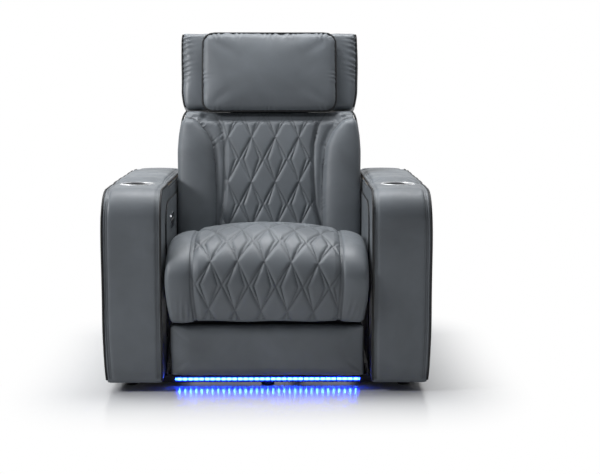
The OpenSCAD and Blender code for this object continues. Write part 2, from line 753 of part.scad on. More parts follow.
module slide_blocks() color(white) pair() for (y = [block_front, block_rear])
    translate([plate_x + plate_t, front_y + y, beam_top_z + channel_t + soft_gap])
        cube([channel_x + channel_w - channel_t - soft_gap - plate_x - plate_t, block_l,
            channel_h - 2 * (channel_t + soft_gap)]);

// Plywood seat frame: a rim and a cross rail that carries the footrest motor
motor_rail_y = front_pivot[0] - seat_frame_rail / 2;
module seat_frame() color(wood) {
    difference() {
        translate([-seat_frame_half_w, front_y + seat_frame_front, seat_frame_z])
            cube([2 * seat_frame_half_w, seat_frame_rear - seat_frame_front, seat_frame_t]);
        translate([-seat_frame_half_w + seat_frame_rail, front_y + seat_frame_front + seat_frame_rail, seat_frame_z - over])
            cube([2 * (seat_frame_half_w - seat_frame_rail),
                seat_frame_rear - seat_frame_front - 2 * seat_frame_rail, seat_frame_t + 2 * over]);
    }
    translate([-seat_frame_half_w + seat_frame_rail, front_y + motor_rail_y, seat_frame_z])
        cube([2 * (seat_frame_half_w - seat_frame_rail), seat_frame_rail, seat_frame_t]);
}
strap_w = 50;
straps = 6;
module seat_webbing() color(black) {
    span = seat_frame_rear - seat_frame_front - seat_frame_rail;
    for (i = [0:straps - 1])
        translate([-seat_frame_half_w + strap_w / 4, front_y + seat_frame_front + span * (i + 0.5) / straps, seat_frame_top])
            cube([2 * seat_frame_half_w - strap_w / 2, strap_w, webbing_t]);
}
module actuator_rod() color(steel) {
    difference() {
        translate([actuator_x, front_y + mid_tube[0] + rod_len, actuator_z]) rotate([90, 0, 0])
            cylinder(h = rod_len, r = rod_r);
        rod_x(mid_tube, 0, 2 * actuator_x, cross_tube_r);
    }
    difference() {
        rod_x(mid_tube, actuator_x - rod_r, 2 * rod_r, cross_tube_r + foot_t);
        rod_x(mid_tube, actuator_x - rod_r - over, 2 * (rod_r + over), cross_tube_r);
    }
}
gear_w = 110;
gear_h = 44;
gear_round = 2;
module footrest_motor() color(black) difference() {
    union() {
        translate([-gear_w / 2, front_y + motor_rail_y, seat_frame_z - gear_h])
            cube([gear_w, seat_frame_rail, gear_h]);
        translate([0, front_y + motor_rail_y + seat_frame_rail, seat_frame_z - gear_h / 2]) rotate([-90, 0, 0])
            cylinder(h = motor_drop, r = gear_h / 2 - gear_round);
    }
    rod_x(front_pivot, -gear_w, 2 * gear_w, shaft_r + soft_gap);
}

// Footrest linkage: equal parallel links carry the knuckle plates, and equal cranks turn the board

link_end_r = link_w / 2;
crank_w = 18;
module link_2d(p, foot) {
    e = elbow(p);
    bar_2d(p, e, link_w);
    bar_2d(e, foot, link_w);
}
module in_side(x0, l) along_x(x0, l) translate([front_y, 0]) children();

// Front links, joined by the torque tube, with the pins for the knuckles and the drive rods
module front_links() color(steel) {
    rod_x(front_pivot, -shaft_end, 2 * shaft_end, shaft_r);
    pair() {
        in_side(front_link_x, link_t) {
            link_2d(front_pivot, front_foot);
            bar_2d(front_foot, crank_pin, crank_w);
        }
        for (p = [front_foot, crank_pin]) {
            rod_x(p, knuckle_x - soft_gap, front_link_x - knuckle_x + soft_gap, pin_r);
            rod_x(p, knuckle_x - soft_gap - head_t, head_t, head_r);
        }
    }
}
shaft_end = plate_x + plate_t + link_gap / 2;

// Rear links, held on the plates' pins, each with a pin that enters its knuckle plate
module rear_links() color(steel) pair() {
    difference() {
        in_side(rear_link_x, link_t) link_2d(rear_pivot, rear_foot);
        rod_x(rear_pivot, rear_link_x - over, link_t + 2 * over, pin_r + run_gap);
    }
    rod_x(rear_foot, rear_link_x + link_t, front_link_x - soft_gap - head_t - rear_link_x - link_t, pin_r);
    rod_x(rear_foot, front_link_x - soft_gap - head_t, head_t, head_r);
}

// Knuckle plates between the links' feet and the footrest board
module knuckle_plates() color(steel) pair() difference() {
    in_side(knuckle_x, link_t) {
        bar_2d(front_foot, rear_foot, link_w);
        bar_2d(rear_foot, board_pivot, link_w);
        bar_2d(front_foot, board_pivot, link_w);
    }
    rod_x(rear_foot, knuckle_x - over, link_t + 2 * over, pin_r + open_gap);
    for (p = [front_foot, board_pivot]) rod_x(p, knuckle_x - over, link_t + 2 * over, pin_r + run_gap);
}

// Drive rods from the front links' cranks to the board's cranks
rod_w = 16;
module drive_rods() color(steel) pair() difference() {
    in_side(knuckle_x, link_t) bar_2d(crank_pin, board_crank, rod_w);
    rod_x(crank_pin, knuckle_x - over, link_t + 2 * over, pin_r + run_gap);
    rod_x(board_crank, knuckle_x - over, link_t + 2 * over, pin_r + open_gap);
}

// Footrest board, and the steel bracket with its crank at each end
bracket_low = 130;
module footrest_board() color(wood)
    translate([-rear_link_x, front_y + board_front, pad_low_z + board_margin])
        cube([2 * rear_link_x, board_t, pad_h - 2 * board_margin]);
module footrest_brackets() color(steel) pair() {
    in_side(rear_link_x, link_t) {
        translate([board_front, bracket_low]) square([board_t, board_pivot[1] + link_end_r / 2 - bracket_low]);
        bar_2d([board_front + link_w / 2, board_pivot[1] - link_w / 2], board_pivot, link_w);
        bar_2d([board_front + link_w / 2, board_crank[1]], board_crank, rod_w);
    }
    for (p = [board_pivot, board_crank]) {
        rod_x(p, rear_link_x + link_t, front_link_x - soft_gap - head_t - rear_link_x - link_t, pin_r);
        rod_x(p, front_link_x - soft_gap - head_t, head_t, head_r);
    }
}
module footrest_pad() color(leather) difference() {
    translate([0, front_y + board_front, pad_low_z + pad_h / 2])
        skin(puff_rings(pad_w / 2, pad_h / 2, board_pad_t, 14, 7, 12, 20));
    translate([-pad_w, front_y + board_front - soft_gap, 0]) cube([2 * pad_w, pad_w, pad_w]);
}

// Back

// Wooden back frame: two uprights and three rails
rail_h = 30;
frame_top = back_len - 2 * cushion_top_gap;
rail_places = [back_frame_low, (back_frame_low + frame_top - rail_h) / 2, frame_top - rail_h];
module back_frame() color(wood) in_back() {
    pair() translate([upright_x, back_frame_front, back_frame_low])
        cube([upright_w, back_frame_t, frame_top - back_frame_low]);
    for (z = rail_places) translate([-upright_x, back_frame_front, z]) cube([2 * upright_x, back_frame_t, rail_h]);
}

// Steel brackets at the pivot, and the two arms that carry the headrest's hinge
module flat_x(x0, t) translate([x0, 0, 0]) rotate([90, 0, 90]) linear_extrude(t) children();
arm_x = 120;
arm_t = 4;
arm_low = 120;
module back_brackets() color(steel) in_back() pair() {
    difference() {
        flat_x(upright_x + upright_w, bracket_t) {
            circle(r = bracket_half);
            translate([-bracket_half, 0])
                square([bracket_half + back_frame_front + back_frame_t, bracket_len]);
        }
        translate([upright_x, 0, 0]) rotate([0, 90, 0]) cylinder(h = plate_x, r = back_pin_r + run_gap);
    }
    flat_x(arm_x, arm_t) {
        translate([back_frame_front - arm_t, frame_top - arm_low]) square([arm_t, arm_low]);
        bar_2d([back_frame_front - arm_t - head_t, frame_top - arm_t], head_pivot, 2 * arm_t + head_t);
    }
    translate([arm_x - arm_low / 4, back_frame_front - arm_t, frame_top - arm_low])
        cube([arm_low / 2, arm_t, arm_low - cushion_top_gap]);
    translate([arm_x + arm_t, head_pivot[0], head_pivot[1]]) rotate([0, 90, 0])
        cylinder(h = lug_t + 2 * soft_gap, r = head_pin_r);
}
head_pin_r = 3;
lug_t = 6;
head_motor_r = 6;
module headrest_motor() color(black) in_back()
    translate([-arm_x, head_pivot[0], head_pivot[1]]) rotate([0, 90, 0])
        cylinder(h = 2 * arm_x, r = head_motor_r);

// Back cushion: a quilted middle, a narrow band each side, and side bolsters
back_h = back_cushion_top - cushion_low;
// Half width of the quilted middle at the share t of the height, and of the band outside it
quilt_shares = [0.505, 0.485, 0.478, 0.49, 0.53, 0.64];
band_shares = [0.60, 0.585, 0.58, 0.61, 0.70, 0.86];
function along(table, t) =
    let (n = len(table) - 1, i = min(floor(t * n), n - 1), f = t * n - i) table[i] * (1 - f) + table[i + 1] * f;
function diamond(u, v) = sqrt(abs(sin(180 * (u / diamond_w + v / diamond_h)) * sin(180 * (u / diamond_w - v / diamond_h))));
quilt_cols = 16;
// Station across the back: the share of the quilt, the band or the bolster, then its height shares
back_cols = concat(
    [[-3, 0], [-3, 0.12], [-3, 0.5], [-3, 0.88], [-2, 0]],
    [for (i = [0:quilt_cols]) [-1, i / quilt_cols]],
    [[2, 0], [3, 0.88], [3, 0.5], [3, 0.12], [3, 0]]
);
function back_x(c, t) =
    let (w = back_w / 2, q = w * along(quilt_shares, t), b = w * along(band_shares, t))
    c[0] == -1 ? q * (2 * c[1] - 1) : abs(c[0]) == 2 ? sign(c[0]) * b : sign(c[0]) * (w - (w - b) * c[1]);
// Height of the padding over the base face at a station
bolster_h = 16;
back_quilt_shift = 20;
function back_puff(c, t, x, v) =
    c[0] == -1 ? (c[1] == 0 || c[1] == 1 ? -seam_dip : puff_h * diamond(x - back_quilt_shift, v))
    : abs(c[0]) == 2 ? -seam_dip
    : bolster_h * sqrt(max(0, 1 - pow(abs(2 * c[1] - 1), 2.4))) - (c[1] == 0 ? draw_in : 0);
lumbar_h = 10;
back_rows = 22;
back_round = 42;
// Ring of one station: up the front, over the top and down behind
function back_ring(c) = concat(
    [for (j = [0:back_rows])
        let (t = j / back_rows, v = back_h * t, x = back_x(c, t), z = cushion_low + v,
            d = back_h - v, top = d < back_round ? back_round - sqrt(back_round * back_round - pow(back_round - d, 2)) : 0,
            low = v < back_round / 2 ? back_round / 2 - v : 0)
        [x, cushion_front - back_puff(c, t, x, v - back_h) + top + low - lumbar_h * (sin(180 * t) - 1), z]],
    [[back_x(c, 1), back_frame_front - arm_t - soft_gap, back_cushion_top - cushion_top_gap],
        [back_x(c, 0.5), back_frame_front - arm_t - soft_gap, cushion_low + back_h / 2],
        [back_x(c, 0), back_frame_front - arm_t - soft_gap, cushion_low]]
);
module back_cushion() color(leather) in_back() difference() {
    skin([for (c = back_cols) back_ring(c)]);
    pair() translate([arm_x - soft_gap, cushion_front, frame_top - 4 * arm_t])
        cube([arm_t + 2 * soft_gap, -cushion_front, back_h]);
    pair() translate([back_block_share * back_w / 2, 2 * cushion_front, 0]) cube([soft_gap, -2 * cushion_front, 2 * back_len]);
}
// Half width of the middle foam block, as a share of the back's half width
back_block_share = 0.6;

// Rear shell, thicker low down, with a narrow skirt that hangs between the side plates
skirt_half_w = rear_link_x;
skirt_t = 12;
skirt_set_back = 45;
skirt_y = back_frame_front + back_frame_t + skirt_set_back;
skirt_low = -90;
module back_shell() color(leather_dark) in_back() {
    flat_x(-skirt_half_w, 2 * skirt_half_w) translate([skirt_y, skirt_low])
        square([skirt_t, cushion_low + shell_t_low - skirt_low]);
    flat_x(-back_w / 2 + shell_gap, back_w - 2 * shell_gap) polygon([
        [back_frame_front + back_frame_t + soft_gap, cushion_low],
        [back_frame_front + back_frame_t + shell_t_low, cushion_low + shell_t_low / 3],
        [back_frame_front + back_frame_t + shell_t_top, back_cushion_top - shell_t_top / 3],
        [back_frame_front + back_frame_t + shell_t_top / 2, back_cushion_top],
        [back_frame_front + back_frame_t + soft_gap, back_cushion_top]
    ]);
}

// Headrest

module headrest_frame() color(wood) in_back() {
    translate([-pillow_w / 2, head_plate_y, back_len + head_inset]) cube([pillow_w, head_plate_t, headrest_h - 2 * head_inset]);
    pair() difference() {
        flat_x(arm_x + arm_t + soft_gap, lug_t) bar_2d(head_pivot, [head_plate_y, back_len + 2 * head_inset], 2 * head_motor_r);
        translate([arm_x, head_pivot[0], head_pivot[1]]) rotate([0, 90, 0])
            cylinder(h = 4 * lug_t, r = head_pin_r + run_gap);
    }
}
head_inset = 16;
// Winged headrest body behind the pillow, closed round the frame
module headrest_wings() color(leather) in_back() difference() {
    translate([0, (head_rear + head_front) / 2, back_len + headrest_h / 2])
        skin(puff_rings(headrest_w / 2, headrest_h / 2, (head_rear - head_front) / 2, 9, 5, 16, 20));
    headrest_hollow();
}
module headrest_hollow() {
    translate([-pillow_w / 2 - soft_gap, head_plate_y - soft_gap, back_len + head_inset - soft_gap])
        cube([pillow_w + 2 * soft_gap, head_plate_t + 2 * soft_gap, headrest_h - 2 * (head_inset - soft_gap)]);
    translate([-arm_x - arm_t - lug_t - 3 * soft_gap, head_pivot[0] - head_motor_r - slot_gap, back_len - over])
        cube([2 * (arm_x + arm_t + lug_t + 3 * soft_gap), head_plate_y - head_pivot[0] + head_motor_r + slot_gap + over,
            head_pivot[1] + head_motor_r + slot_gap - back_len + over]);
    pair() translate([arm_x + arm_t, head_pivot[0] - head_motor_r - slot_gap, back_len - over])
        cube([lug_t + 3 * soft_gap, head_plate_y - head_pivot[0] + head_motor_r + slot_gap + over,
            2 * head_inset + head_motor_r + slot_gap + over]);
}
slot_gap = 2;
module headrest_pillow() color(leather) in_back() difference() {
    translate([0, head_front + pillow_seat, back_len + headrest_h / 2])
        skin(puff_rings(pillow_w / 2, pillow_h / 2, pillow_seat + head_front - pillow_front, 7, 4, 18, 20));
    translate([-pillow_w, head_front - soft_gap, 0]) cube([2 * pillow_w, pillow_w, 2 * back_len]);
}
pillow_seat = 12;

// Seat cushion

// Stations across the seat: [x, draw-in, bolster height], with the quilt between the seams
seat_cols = 22;
seat_quilt_half = seat_quilt_w / 2;
seat_edge_shares = [[1, 1, 0], [0.93, 0.35, 0.45], [0.5, 0, 1], [0.12, 0, 0.45]];
function seat_side(k) = [for (e = seat_edge_shares)
    [k * (seat_quilt_half + (cushion_half_w - seat_quilt_half) * e[0]), e[1] * draw_in, e[2] * seat_bolster_h, 0]];
seat_bolster_h = 5;
seat_stations = concat(
    seat_side(-1),
    [for (i = [0:seat_cols]) [seat_quilt_half * (2 * i / seat_cols - 1), 0, i == 0 || i == seat_cols ? -seam_dip : 0,
        i == 0 || i == seat_cols ? 0 : 1]],
    [for (i = [3:-1:0]) seat_side(1)[i]]
);
seat_top_steps = 8;
seat_roll_steps = 13;
seat_front_steps = 7;
seat_power = 2.3;
seat_front_in = 20;
// Outer line of the cushion from its rear top edge to its lower front edge, as [y, z]
function seat_outer() =
    let (
        flat = [for (i = [0:seat_top_steps - 1]) let (t = 1 - i / seat_top_steps)
            [seat_crown_back + (seat_depth - rear_gap - seat_crown_back) * t, seat_h - seat_rear_drop * pow(t, 1.6)]],
        roll = [for (i = [0:seat_roll_steps - 1]) let (a = 90 * i / seat_roll_steps)
            [seat_crown_back - (seat_crown_back + seat_overhang) * spow(sin(a), 2 / seat_power),
                seat_roll_z + (seat_h - seat_roll_z) * spow(cos(a), 2 / seat_power)]],
        drop = [for (i = [0:seat_front_steps]) let (t = i / seat_front_steps)
            [-seat_overhang + seat_front_in * pow(t, 2.5), seat_roll_z + (seat_drop_z - seat_roll_z) * t]]
    )
    concat(flat, roll, drop);
// Inner line along the underside and down behind the front drop
seat_inner_shares = [[1, 1], [0.84, 1], [0.6, 1], [0.4, 1], [0.25, 1], [0.12, 1], [0, 1],
    [0, (seat_roll_z - seat_drop_z) / (seat_under_z - seat_drop_z)], [-0.03, 0.45]];
seat_drop_in = 10;
seat_inner_front = front_drop_t - seat_drop_in;
function seat_inner() = [for (s = seat_inner_shares)
    [seat_inner_front + (seat_depth - rear_gap - seat_inner_front) * s[0], seat_drop_z + (seat_under_z - seat_drop_z) * s[1]]];
// Outward normal of the outer line at point i
function normal(line, i) =
    let (a = line[max(i - 1, 0)], b = line[min(i + 1, len(line) - 1)], d = (b - a) / norm(b - a)) [d[1], -d[0]];
function run(line, i) = i == 0 ? 0 : norm(line[i] - line[i - 1]) + run(line, i - 1);
seat_quilt_shift = -12;
// The outer line of one station, with the quilting and the bolsters raised on it
function seat_ring(st, outer) =
    let (n = len(outer) - 1)
    [for (i = [0:n])
        let (
            v = run(outer, i) - run(outer, seat_top_steps),
            fade = i == 0 || i == n ? 0 : 1,
            rise = fade * (st[2] + st[3] * puff_h * diamond(st[0] - seat_quilt_shift, v)) - st[1] - (1 - fade) * seam_dip,
            p = outer[i] + normal(outer, i) * rise
        )
        [st[0], front_y + p[0], p[1]]];
// Point i of the inner line at one station
function under(st, i) = let (p = seat_inner()[i]) [st[0], front_y + p[0], p[1]];
// The cushion is a seat block and a front block, which meet under the roll
module seat_cushion() color(leather) {
    outer = seat_outer();
    n = len(outer) - 1;
    k = len(seat_inner_shares) - 1;
    split = seat_top_steps + seat_roll_steps;
    skin([for (st = seat_stations) let (ring = seat_ring(st, outer))
        concat([for (i = [0:split]) ring[i]], [for (i = [k - 1:-1:0]) under(st, i)])]);
    skin([for (st = seat_stations) let (ring = seat_ring(st, outer))
        concat([ring[split] - [0, 0, soft_gap]], [for (i = [split + 1:n]) ring[i]],
            [under(st, k), under(st, k - 1) - [0, 0, soft_gap]])]);
}

base_beams();
base_channels();
floor_glides();
led_rail();
led_strip();
led_end_clips();
power_box();
recline_actuator();
arm_frame_left();
arm_frame_right();
arm_cover_left();
arm_cover_right();
arm_inner_panel_left();
arm_inner_panel_right();
storage_bin_left();
storage_bin_right();
cup_holder_left();
cup_holder_right();
touch_tab_left();
touch_tab_right();
lid_board_left();
lid_board_right();
lid_pad_left();
lid_pad_right();
lid_hinge_left();
lid_hinge_right();
lid_leaf_left();
lid_leaf_right();
control_bezel();
usb_port();
button_recline();
button_upright();
button_home();
button_head_forward();
button_head_back();
carriage_plates();
carriage_tubes();
slide_blocks();
seat_frame();
seat_webbing();
seat_cushion();
actuator_rod();
footrest_motor();
front_links();
rear_links();
knuckle_plates();
drive_rods();
footrest_board();
footrest_brackets();
footrest_pad();
back_frame();
back_brackets();
back_cushion();
back_shell();
headrest_motor();
headrest_frame();
headrest_wings();
headrest_pillow();
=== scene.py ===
"""Upholsters a power recliner seat: quilted cushions, padded arms, headrest, piping and a light strip."""

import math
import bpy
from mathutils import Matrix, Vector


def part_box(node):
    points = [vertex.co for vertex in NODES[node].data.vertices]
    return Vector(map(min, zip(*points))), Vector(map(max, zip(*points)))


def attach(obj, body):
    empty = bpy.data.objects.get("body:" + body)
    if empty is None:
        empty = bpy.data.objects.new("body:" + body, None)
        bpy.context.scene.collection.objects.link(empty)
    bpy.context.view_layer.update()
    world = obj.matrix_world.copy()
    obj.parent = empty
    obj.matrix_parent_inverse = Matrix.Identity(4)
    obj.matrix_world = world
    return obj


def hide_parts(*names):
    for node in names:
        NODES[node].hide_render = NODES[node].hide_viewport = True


bl_info = {
    "name": "Cinema Recliner Seat",
    "version": (1, 0, 0),
    "blender": (4, 5, 0),
    "location": "3D View > Sidebar > Recliner",
    "description": "Upholsters a power recliner seat and sets its studio",
    "category": "Object",
}

import bpy
import numpy as np
from mathutils import Vector
from mathutils.bvhtree import BVHTree

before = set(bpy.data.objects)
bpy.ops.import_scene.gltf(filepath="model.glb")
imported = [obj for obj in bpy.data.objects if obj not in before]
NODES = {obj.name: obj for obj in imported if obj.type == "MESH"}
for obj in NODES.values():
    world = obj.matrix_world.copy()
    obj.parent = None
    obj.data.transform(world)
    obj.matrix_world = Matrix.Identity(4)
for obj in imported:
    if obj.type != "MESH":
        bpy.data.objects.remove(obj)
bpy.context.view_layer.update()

# Places that the frame gives, in metres
ARM_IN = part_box("arm_cover_right")[0].x
ARM_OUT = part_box("arm_cover_right")[1].x
ARM_MID = (ARM_IN + ARM_OUT) / 2
ARM_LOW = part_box("arm_cover_right")[0].z
ARM_TOP = 0.593
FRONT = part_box("arm_frame_right")[0].y - 0.0123
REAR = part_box("arm_frame_right")[1].y + 0.0123

# The back's own leaning frame
LEAN = math.radians(14)
PIVOT_Y = FRONT + 0.590
PIVOT_Z = 0.300


def length(name, description, default):
    return bpy.props.FloatProperty(name=name, description=description, default=default, unit="LENGTH")


def colour_of(name, description, default):
    return bpy.props.FloatVectorProperty(
        name=name, description=description, default=default, subtype="COLOR", size=3, min=0, max=1
    )


class SeatSizes(bpy.types.PropertyGroup):
    """Sizes of the upholstery"""

    diamond_w: length("Diamond width", "Width of one quilting diamond", 0.078)
    diamond_h: length("Diamond height", "Height of one quilting diamond", 0.150)
    inner_w: length("Inner diamond", "Width of the narrow diamond stitched inside every other one", 0.050)
    puff: length("Puff", "Height of the padding between two quilting lines", 0.0050)
    puff_r: length("Puff reach", "Distance from a quilting line at which the padding is full", 0.014)
    piping_r: length("Piping", "Radius of the piping cord", 0.0034)


class SeatColours(bpy.types.PropertyGroup):
    """Colours of the finishes"""

    hide: colour_of("Leather", "Colour of the leather", (0.138, 0.152, 0.166))
    piping: colour_of("Piping", "Colour of the piping", (0.0035, 0.0038, 0.0045))
    glow: colour_of("Light", "Colour of the light strip", (0.018, 0.070, 1.0))


def sizes():
    return bpy.context.scene.seat_sizes


def colours():
    return bpy.context.scene.seat_colours


# Mesh helpers


def clear_selection():
    if bpy.context.object and bpy.context.object.mode != "OBJECT":
        bpy.ops.object.mode_set(mode="OBJECT")
    bpy.ops.object.select_all(action="DESELECT")


def pick(obj):
    """Makes obj the only selected and active object."""
    clear_selection()
    obj.select_set(True)
    bpy.context.view_layer.objects.active = obj


def apply_all(obj):
    pick(obj)
    for m in list(obj.modifiers):
        bpy.ops.object.modifier_apply(modifier=m.name)


def read_all(items, key, size=1):
    """One attribute of all items of a mesh, as floats."""
    out = np.empty(len(items) * size, np.float32)
    items.foreach_get(key, out)
    return out.astype(float)


def coords(obj):
    return read_all(obj.data.vertices, "co", 3).reshape(-1, 3)


def set_coords(obj, co):
    obj.data.vertices.foreach_set("co", np.ascontiguousarray(co, np.float32).ravel())
    obj.data.update()


def normals(obj):
    return read_all(obj.data.vertex_normals, "vector", 3).reshape(-1, 3)


def get_field(obj, name):
    return read_all(obj.data.attributes[name].data, "value")


def set_field(obj, name, values):
    a = obj.data.attributes.get(name) or obj.data.attributes.new(name, "FLOAT", "POINT")
    a.data.foreach_set("value", np.ascontiguousarray(values, np.float32))


def cover_fields(obj):
    """The cover's own coordinates u and v, and its share of the padded face: 1 there, falling to 0 at the flat back."""
    return get_field(obj, "u"), get_field(obj, "v"), get_field(obj, "top")


def new_object(name, verts, faces, **fields):
    mesh = bpy.data.meshes.new(name)
    mesh.from_pydata([tuple(v) for v in verts], [], [tuple(int(i) for i in f) for f in faces])
    mesh.validate()
    obj = bpy.data.objects.new(name, mesh)
    bpy.context.scene.collection.objects.link(obj)
    for key, values in fields.items():
        set_field(obj, key, values)
    return obj


def edit_mesh(obj, *steps):
    """Runs mesh operators on the whole of obj; each step is a function that calls one."""
    pick(obj)
    bpy.ops.object.mode_set(mode="EDIT")
    bpy.ops.mesh.select_all(action="SELECT")
    for step in steps:
        step()
    bpy.ops.object.mode_set(mode="OBJECT")


def outward(obj):
    """Turns every face of a closed mesh to the outside."""
    edit_mesh(
        obj,
        lambda: bpy.ops.mesh.remove_doubles(threshold=1e-6),
        lambda: bpy.ops.mesh.normals_make_consistent(inside=False),
    )


def ring_faces(rings):
    """Quads between neighbouring closed rings of vertex numbers."""
    faces = []
    for a, b in zip(rings[:-1], rings[1:]):
        faces += list(np.stack([a, b, np.roll(b, -1), np.roll(a, -1)], -1))
    return faces


def grid(x, y, z):
    """Points from three coordinates, each a number, a row, a column or a whole grid."""
    return np.stack(np.broadcast_arrays(x, y, z), -1)


def slab(name, top, bottom, u, v, walls=4, bulge=0.0):
    """A closed cushion between two n by m grids of points, with quad walls; u and v are the cover's coordinates."""
    n, m = top.shape[:2]
    count = n * m
    index = np.arange(count).reshape(n, m)
    quads = np.stack([index[:-1, :-1], index[1:, :-1], index[1:, 1:], index[:-1, 1:]], -1).reshape(-1, 4)
    loop = np.concatenate([index[:-1, 0], index[-1, :-1], index[:0:-1, -1], index[0, :0:-1]])
    flat_top, flat_low = top.reshape(-1, 3), bottom.reshape(-1, 3)
    middle = flat_top.mean(0)
    u, v = (np.broadcast_to(field, (n, m)).ravel() for field in (u, v))
    verts, rings = [flat_top, flat_low], [loop]
    fu, fv, face = [u, u], [v, v], [np.ones(count), np.zeros(count)]
    for k in range(1, walls):
        t = k / walls
        ring = flat_top[loop] * (1 - t) + flat_low[loop] * t
        away = ring - middle
        away /= np.linalg.norm(away, axis=1)[:, None]
        verts.append(ring + away * bulge * math.sin(math.pi * t))
        rings.append(2 * count + np.arange(len(loop)) + (k - 1) * len(loop))
        fu.append(u[loop])
        fv.append(v[loop])
        face.append(np.full(len(loop), 1 - t))
    rings.append(loop + count)
    faces = list(quads) + list(quads[:, ::-1] + count) + ring_faces(rings)
    fields = {"u": np.concatenate(fu), "v": np.concatenate(fv), "top": np.concatenate(face)}
    obj = new_object(name, np.concatenate(verts), faces, **fields)
    outward(obj)
    return obj


def subdivide(obj, levels):
    m = obj.modifiers.new("Subdivision", "SUBSURF")
    m.levels = m.render_levels = levels
    m.boundary_smooth = "ALL"
    apply_all(obj)


def smooth(obj, steps):
    m = obj.modifiers.new("Smooth", "SMOOTH")
    m.iterations, m.factor = steps, 0.5
    apply_all(obj)


def swell(obj, hold, pressure=4.0, cap=0.010, frames=20):
    """Blows the cover up as cloth, pinned where hold is set, and keeps the result within cap of the start."""
    start = coords(obj)
    group = obj.vertex_groups.new(name="held")
    group.add([int(i) for i in np.nonzero(hold)[0]], 1.0, "ADD")
    cloth = obj.modifiers.new("Cloth", "CLOTH")
    s = cloth.settings
    s.quality = 5
    s.mass = 0.4
    s.tension_stiffness = s.compression_stiffness = 18
    s.shear_stiffness = 8
    s.bending_stiffness = 1.2
    s.use_pressure = True
    s.uniform_pressure_force = pressure
    s.vertex_group_mass = "held"
    s.effector_weights.gravity = 0
    cloth.collision_settings.use_collision = False
    cloth.point_cache.frame_start, cloth.point_cache.frame_end = 1, frames
    scene = bpy.context.scene
    for f in range(1, frames + 1):
        scene.frame_set(f)
    apply_all(obj)
    scene.frame_set(1)
    move = coords(obj) - start
    size = np.linalg.norm(move, axis=1)
    move *= np.minimum(1, cap / np.maximum(size, 1e-9))[:, None]
    set_coords(obj, start + move)
    obj.vertex_groups.clear()


def filled(obj, hold, **how):
    """Swells and refines a cover; returns its fields."""
    swell(obj, hold, **how)
    subdivide(obj, 2)
    return cover_fields(obj)


def share(value, low, high):
    """How far value is from low to high, held within 0 and 1."""
    return np.clip((value - low) / (high - low), 0, 1)


def distance(points, line):
    """Distance of 2-D points to a polyline."""
    best = np.full(len(points), 1e9)
    for a, b in zip(line[:-1], line[1:]):
        d = b - a
        t = np.clip(((points - a) @ d) / max(d @ d, 1e-12), 0, 1)
        best = np.minimum(best, np.linalg.norm(points - (a + t[:, None] * d), axis=1))
    return best


def pillow(d, reach, height):
    """Padding height at distance d from a seam, full at the distance reach."""
    t = np.clip(1 - d / reach, 0, 1)
    return height * np.sqrt(np.maximum(0, 1 - t * t))


def hump(d, width):
    """A soft mask: 1 where d is 0, fading over that width."""
    return np.exp(-((d / width) ** 2))


def crease(d, width, depth):
    """A sewn groove of that width and depth round a seam."""
    return -depth * hump(d, width)


def twin_lines(d, gap):
    """Distance to two sewn lines that run at that gap on either side of a seam."""
    return np.minimum(abs(d - gap), abs(d + gap))


def ripple(along, away, pitch, height, reach, seed=0.0):
    """Puckers that run away from a seam and fade over the distance reach."""
    wander = along + 0.35 * pitch * np.sin(along / pitch * 1.7 + seed)
    strength = np.exp(-away / reach) * (0.6 + 0.4 * np.sin(along / pitch * 0.9 + 2 * seed))
    return height * np.sin(2 * math.pi * wander / pitch + seed) * strength


def diamonds(x, v, s):
    """Distance to the nearest quilting line: a diamond lattice with a narrower diamond inside every other one."""
    w, h, inner = s.diamond_w, s.diamond_h, s.inner_w
    p, q = x / w + v / h, x / w - v / h
    k = 1 / math.hypot(1 / w, 1 / h)
    d = np.minimum(abs(p - np.round(p)), abs(q - np.round(q))) * k
    dx = abs(x - np.round(x / w) * w)
    dy = abs(v - (np.floor(v / h) + 0.5) * h)
    own = dx / (w / 2) + dy / (h / 2) <= 1
    line = abs(dx / (inner / 2) + dy / (h / 2) - 1) / math.hypot(2 / inner, 2 / h)
    return np.where(own, np.minimum(d, line), d)


def quilt(x, v):
    """Height of the quilting, and the mask of the shade painted along its lines."""
    s = sizes()
    d = diamonds(x, v, s)
    return pillow(d, s.puff_r, s.puff), hump(d, 0.0013)


def cord_mesh(name, points, radius, closed=False):
    """A round cord through points, made a mesh."""
    curve = bpy.data.curves.new(name, "CURVE")
    curve.dimensions = "3D"
    curve.bevel_depth, curve.bevel_resolution = radius, 3
    curve.use_fill_caps = not closed
    line = curve.splines.new("POLY")
    line.points.add(len(points) - 1)
    for p, q in zip(line.points, points):
        p.co = (*q, 1)
    line.use_cyclic_u = closed
    obj = bpy.data.objects.new(name, curve)
    bpy.context.scene.collection.objects.link(obj)
    pick(obj)
    bpy.ops.object.convert(target="MESH")
    return bpy.context.object


def box_of(name, low, high):
    clear_selection()
    bpy.ops.mesh.primitive_cube_add(size=1, location=[(a + b) / 2 for a, b in zip(low, high)])
    obj = bpy.context.object
    obj.name = obj.data.name = name
    obj.scale = [b - a for a, b in zip(low, high)]
    bpy.ops.object.transform_apply(location=True, rotation=True, scale=True)
    return obj


def join(name, parts):
    clear_selection()
    for o in parts:
        o.select_set(True)
    bpy.context.view_layer.objects.active = parts[0]
    if len(parts) > 1:
        bpy.ops.object.join()
    obj = bpy.context.object
    obj.name = obj.data.name = name
    return obj


def mirrored(obj, name):
    """A copy on the other side of the middle plane."""
    twin = obj.copy()
    twin.data = obj.data.copy()
    twin.name = twin.data.name = name
    bpy.context.scene.collection.objects.link(twin)
    set_coords(twin, coords(twin) * (-1, 1, 1))
    edit_mesh(twin, bpy.ops.mesh.flip_normals)
    return twin


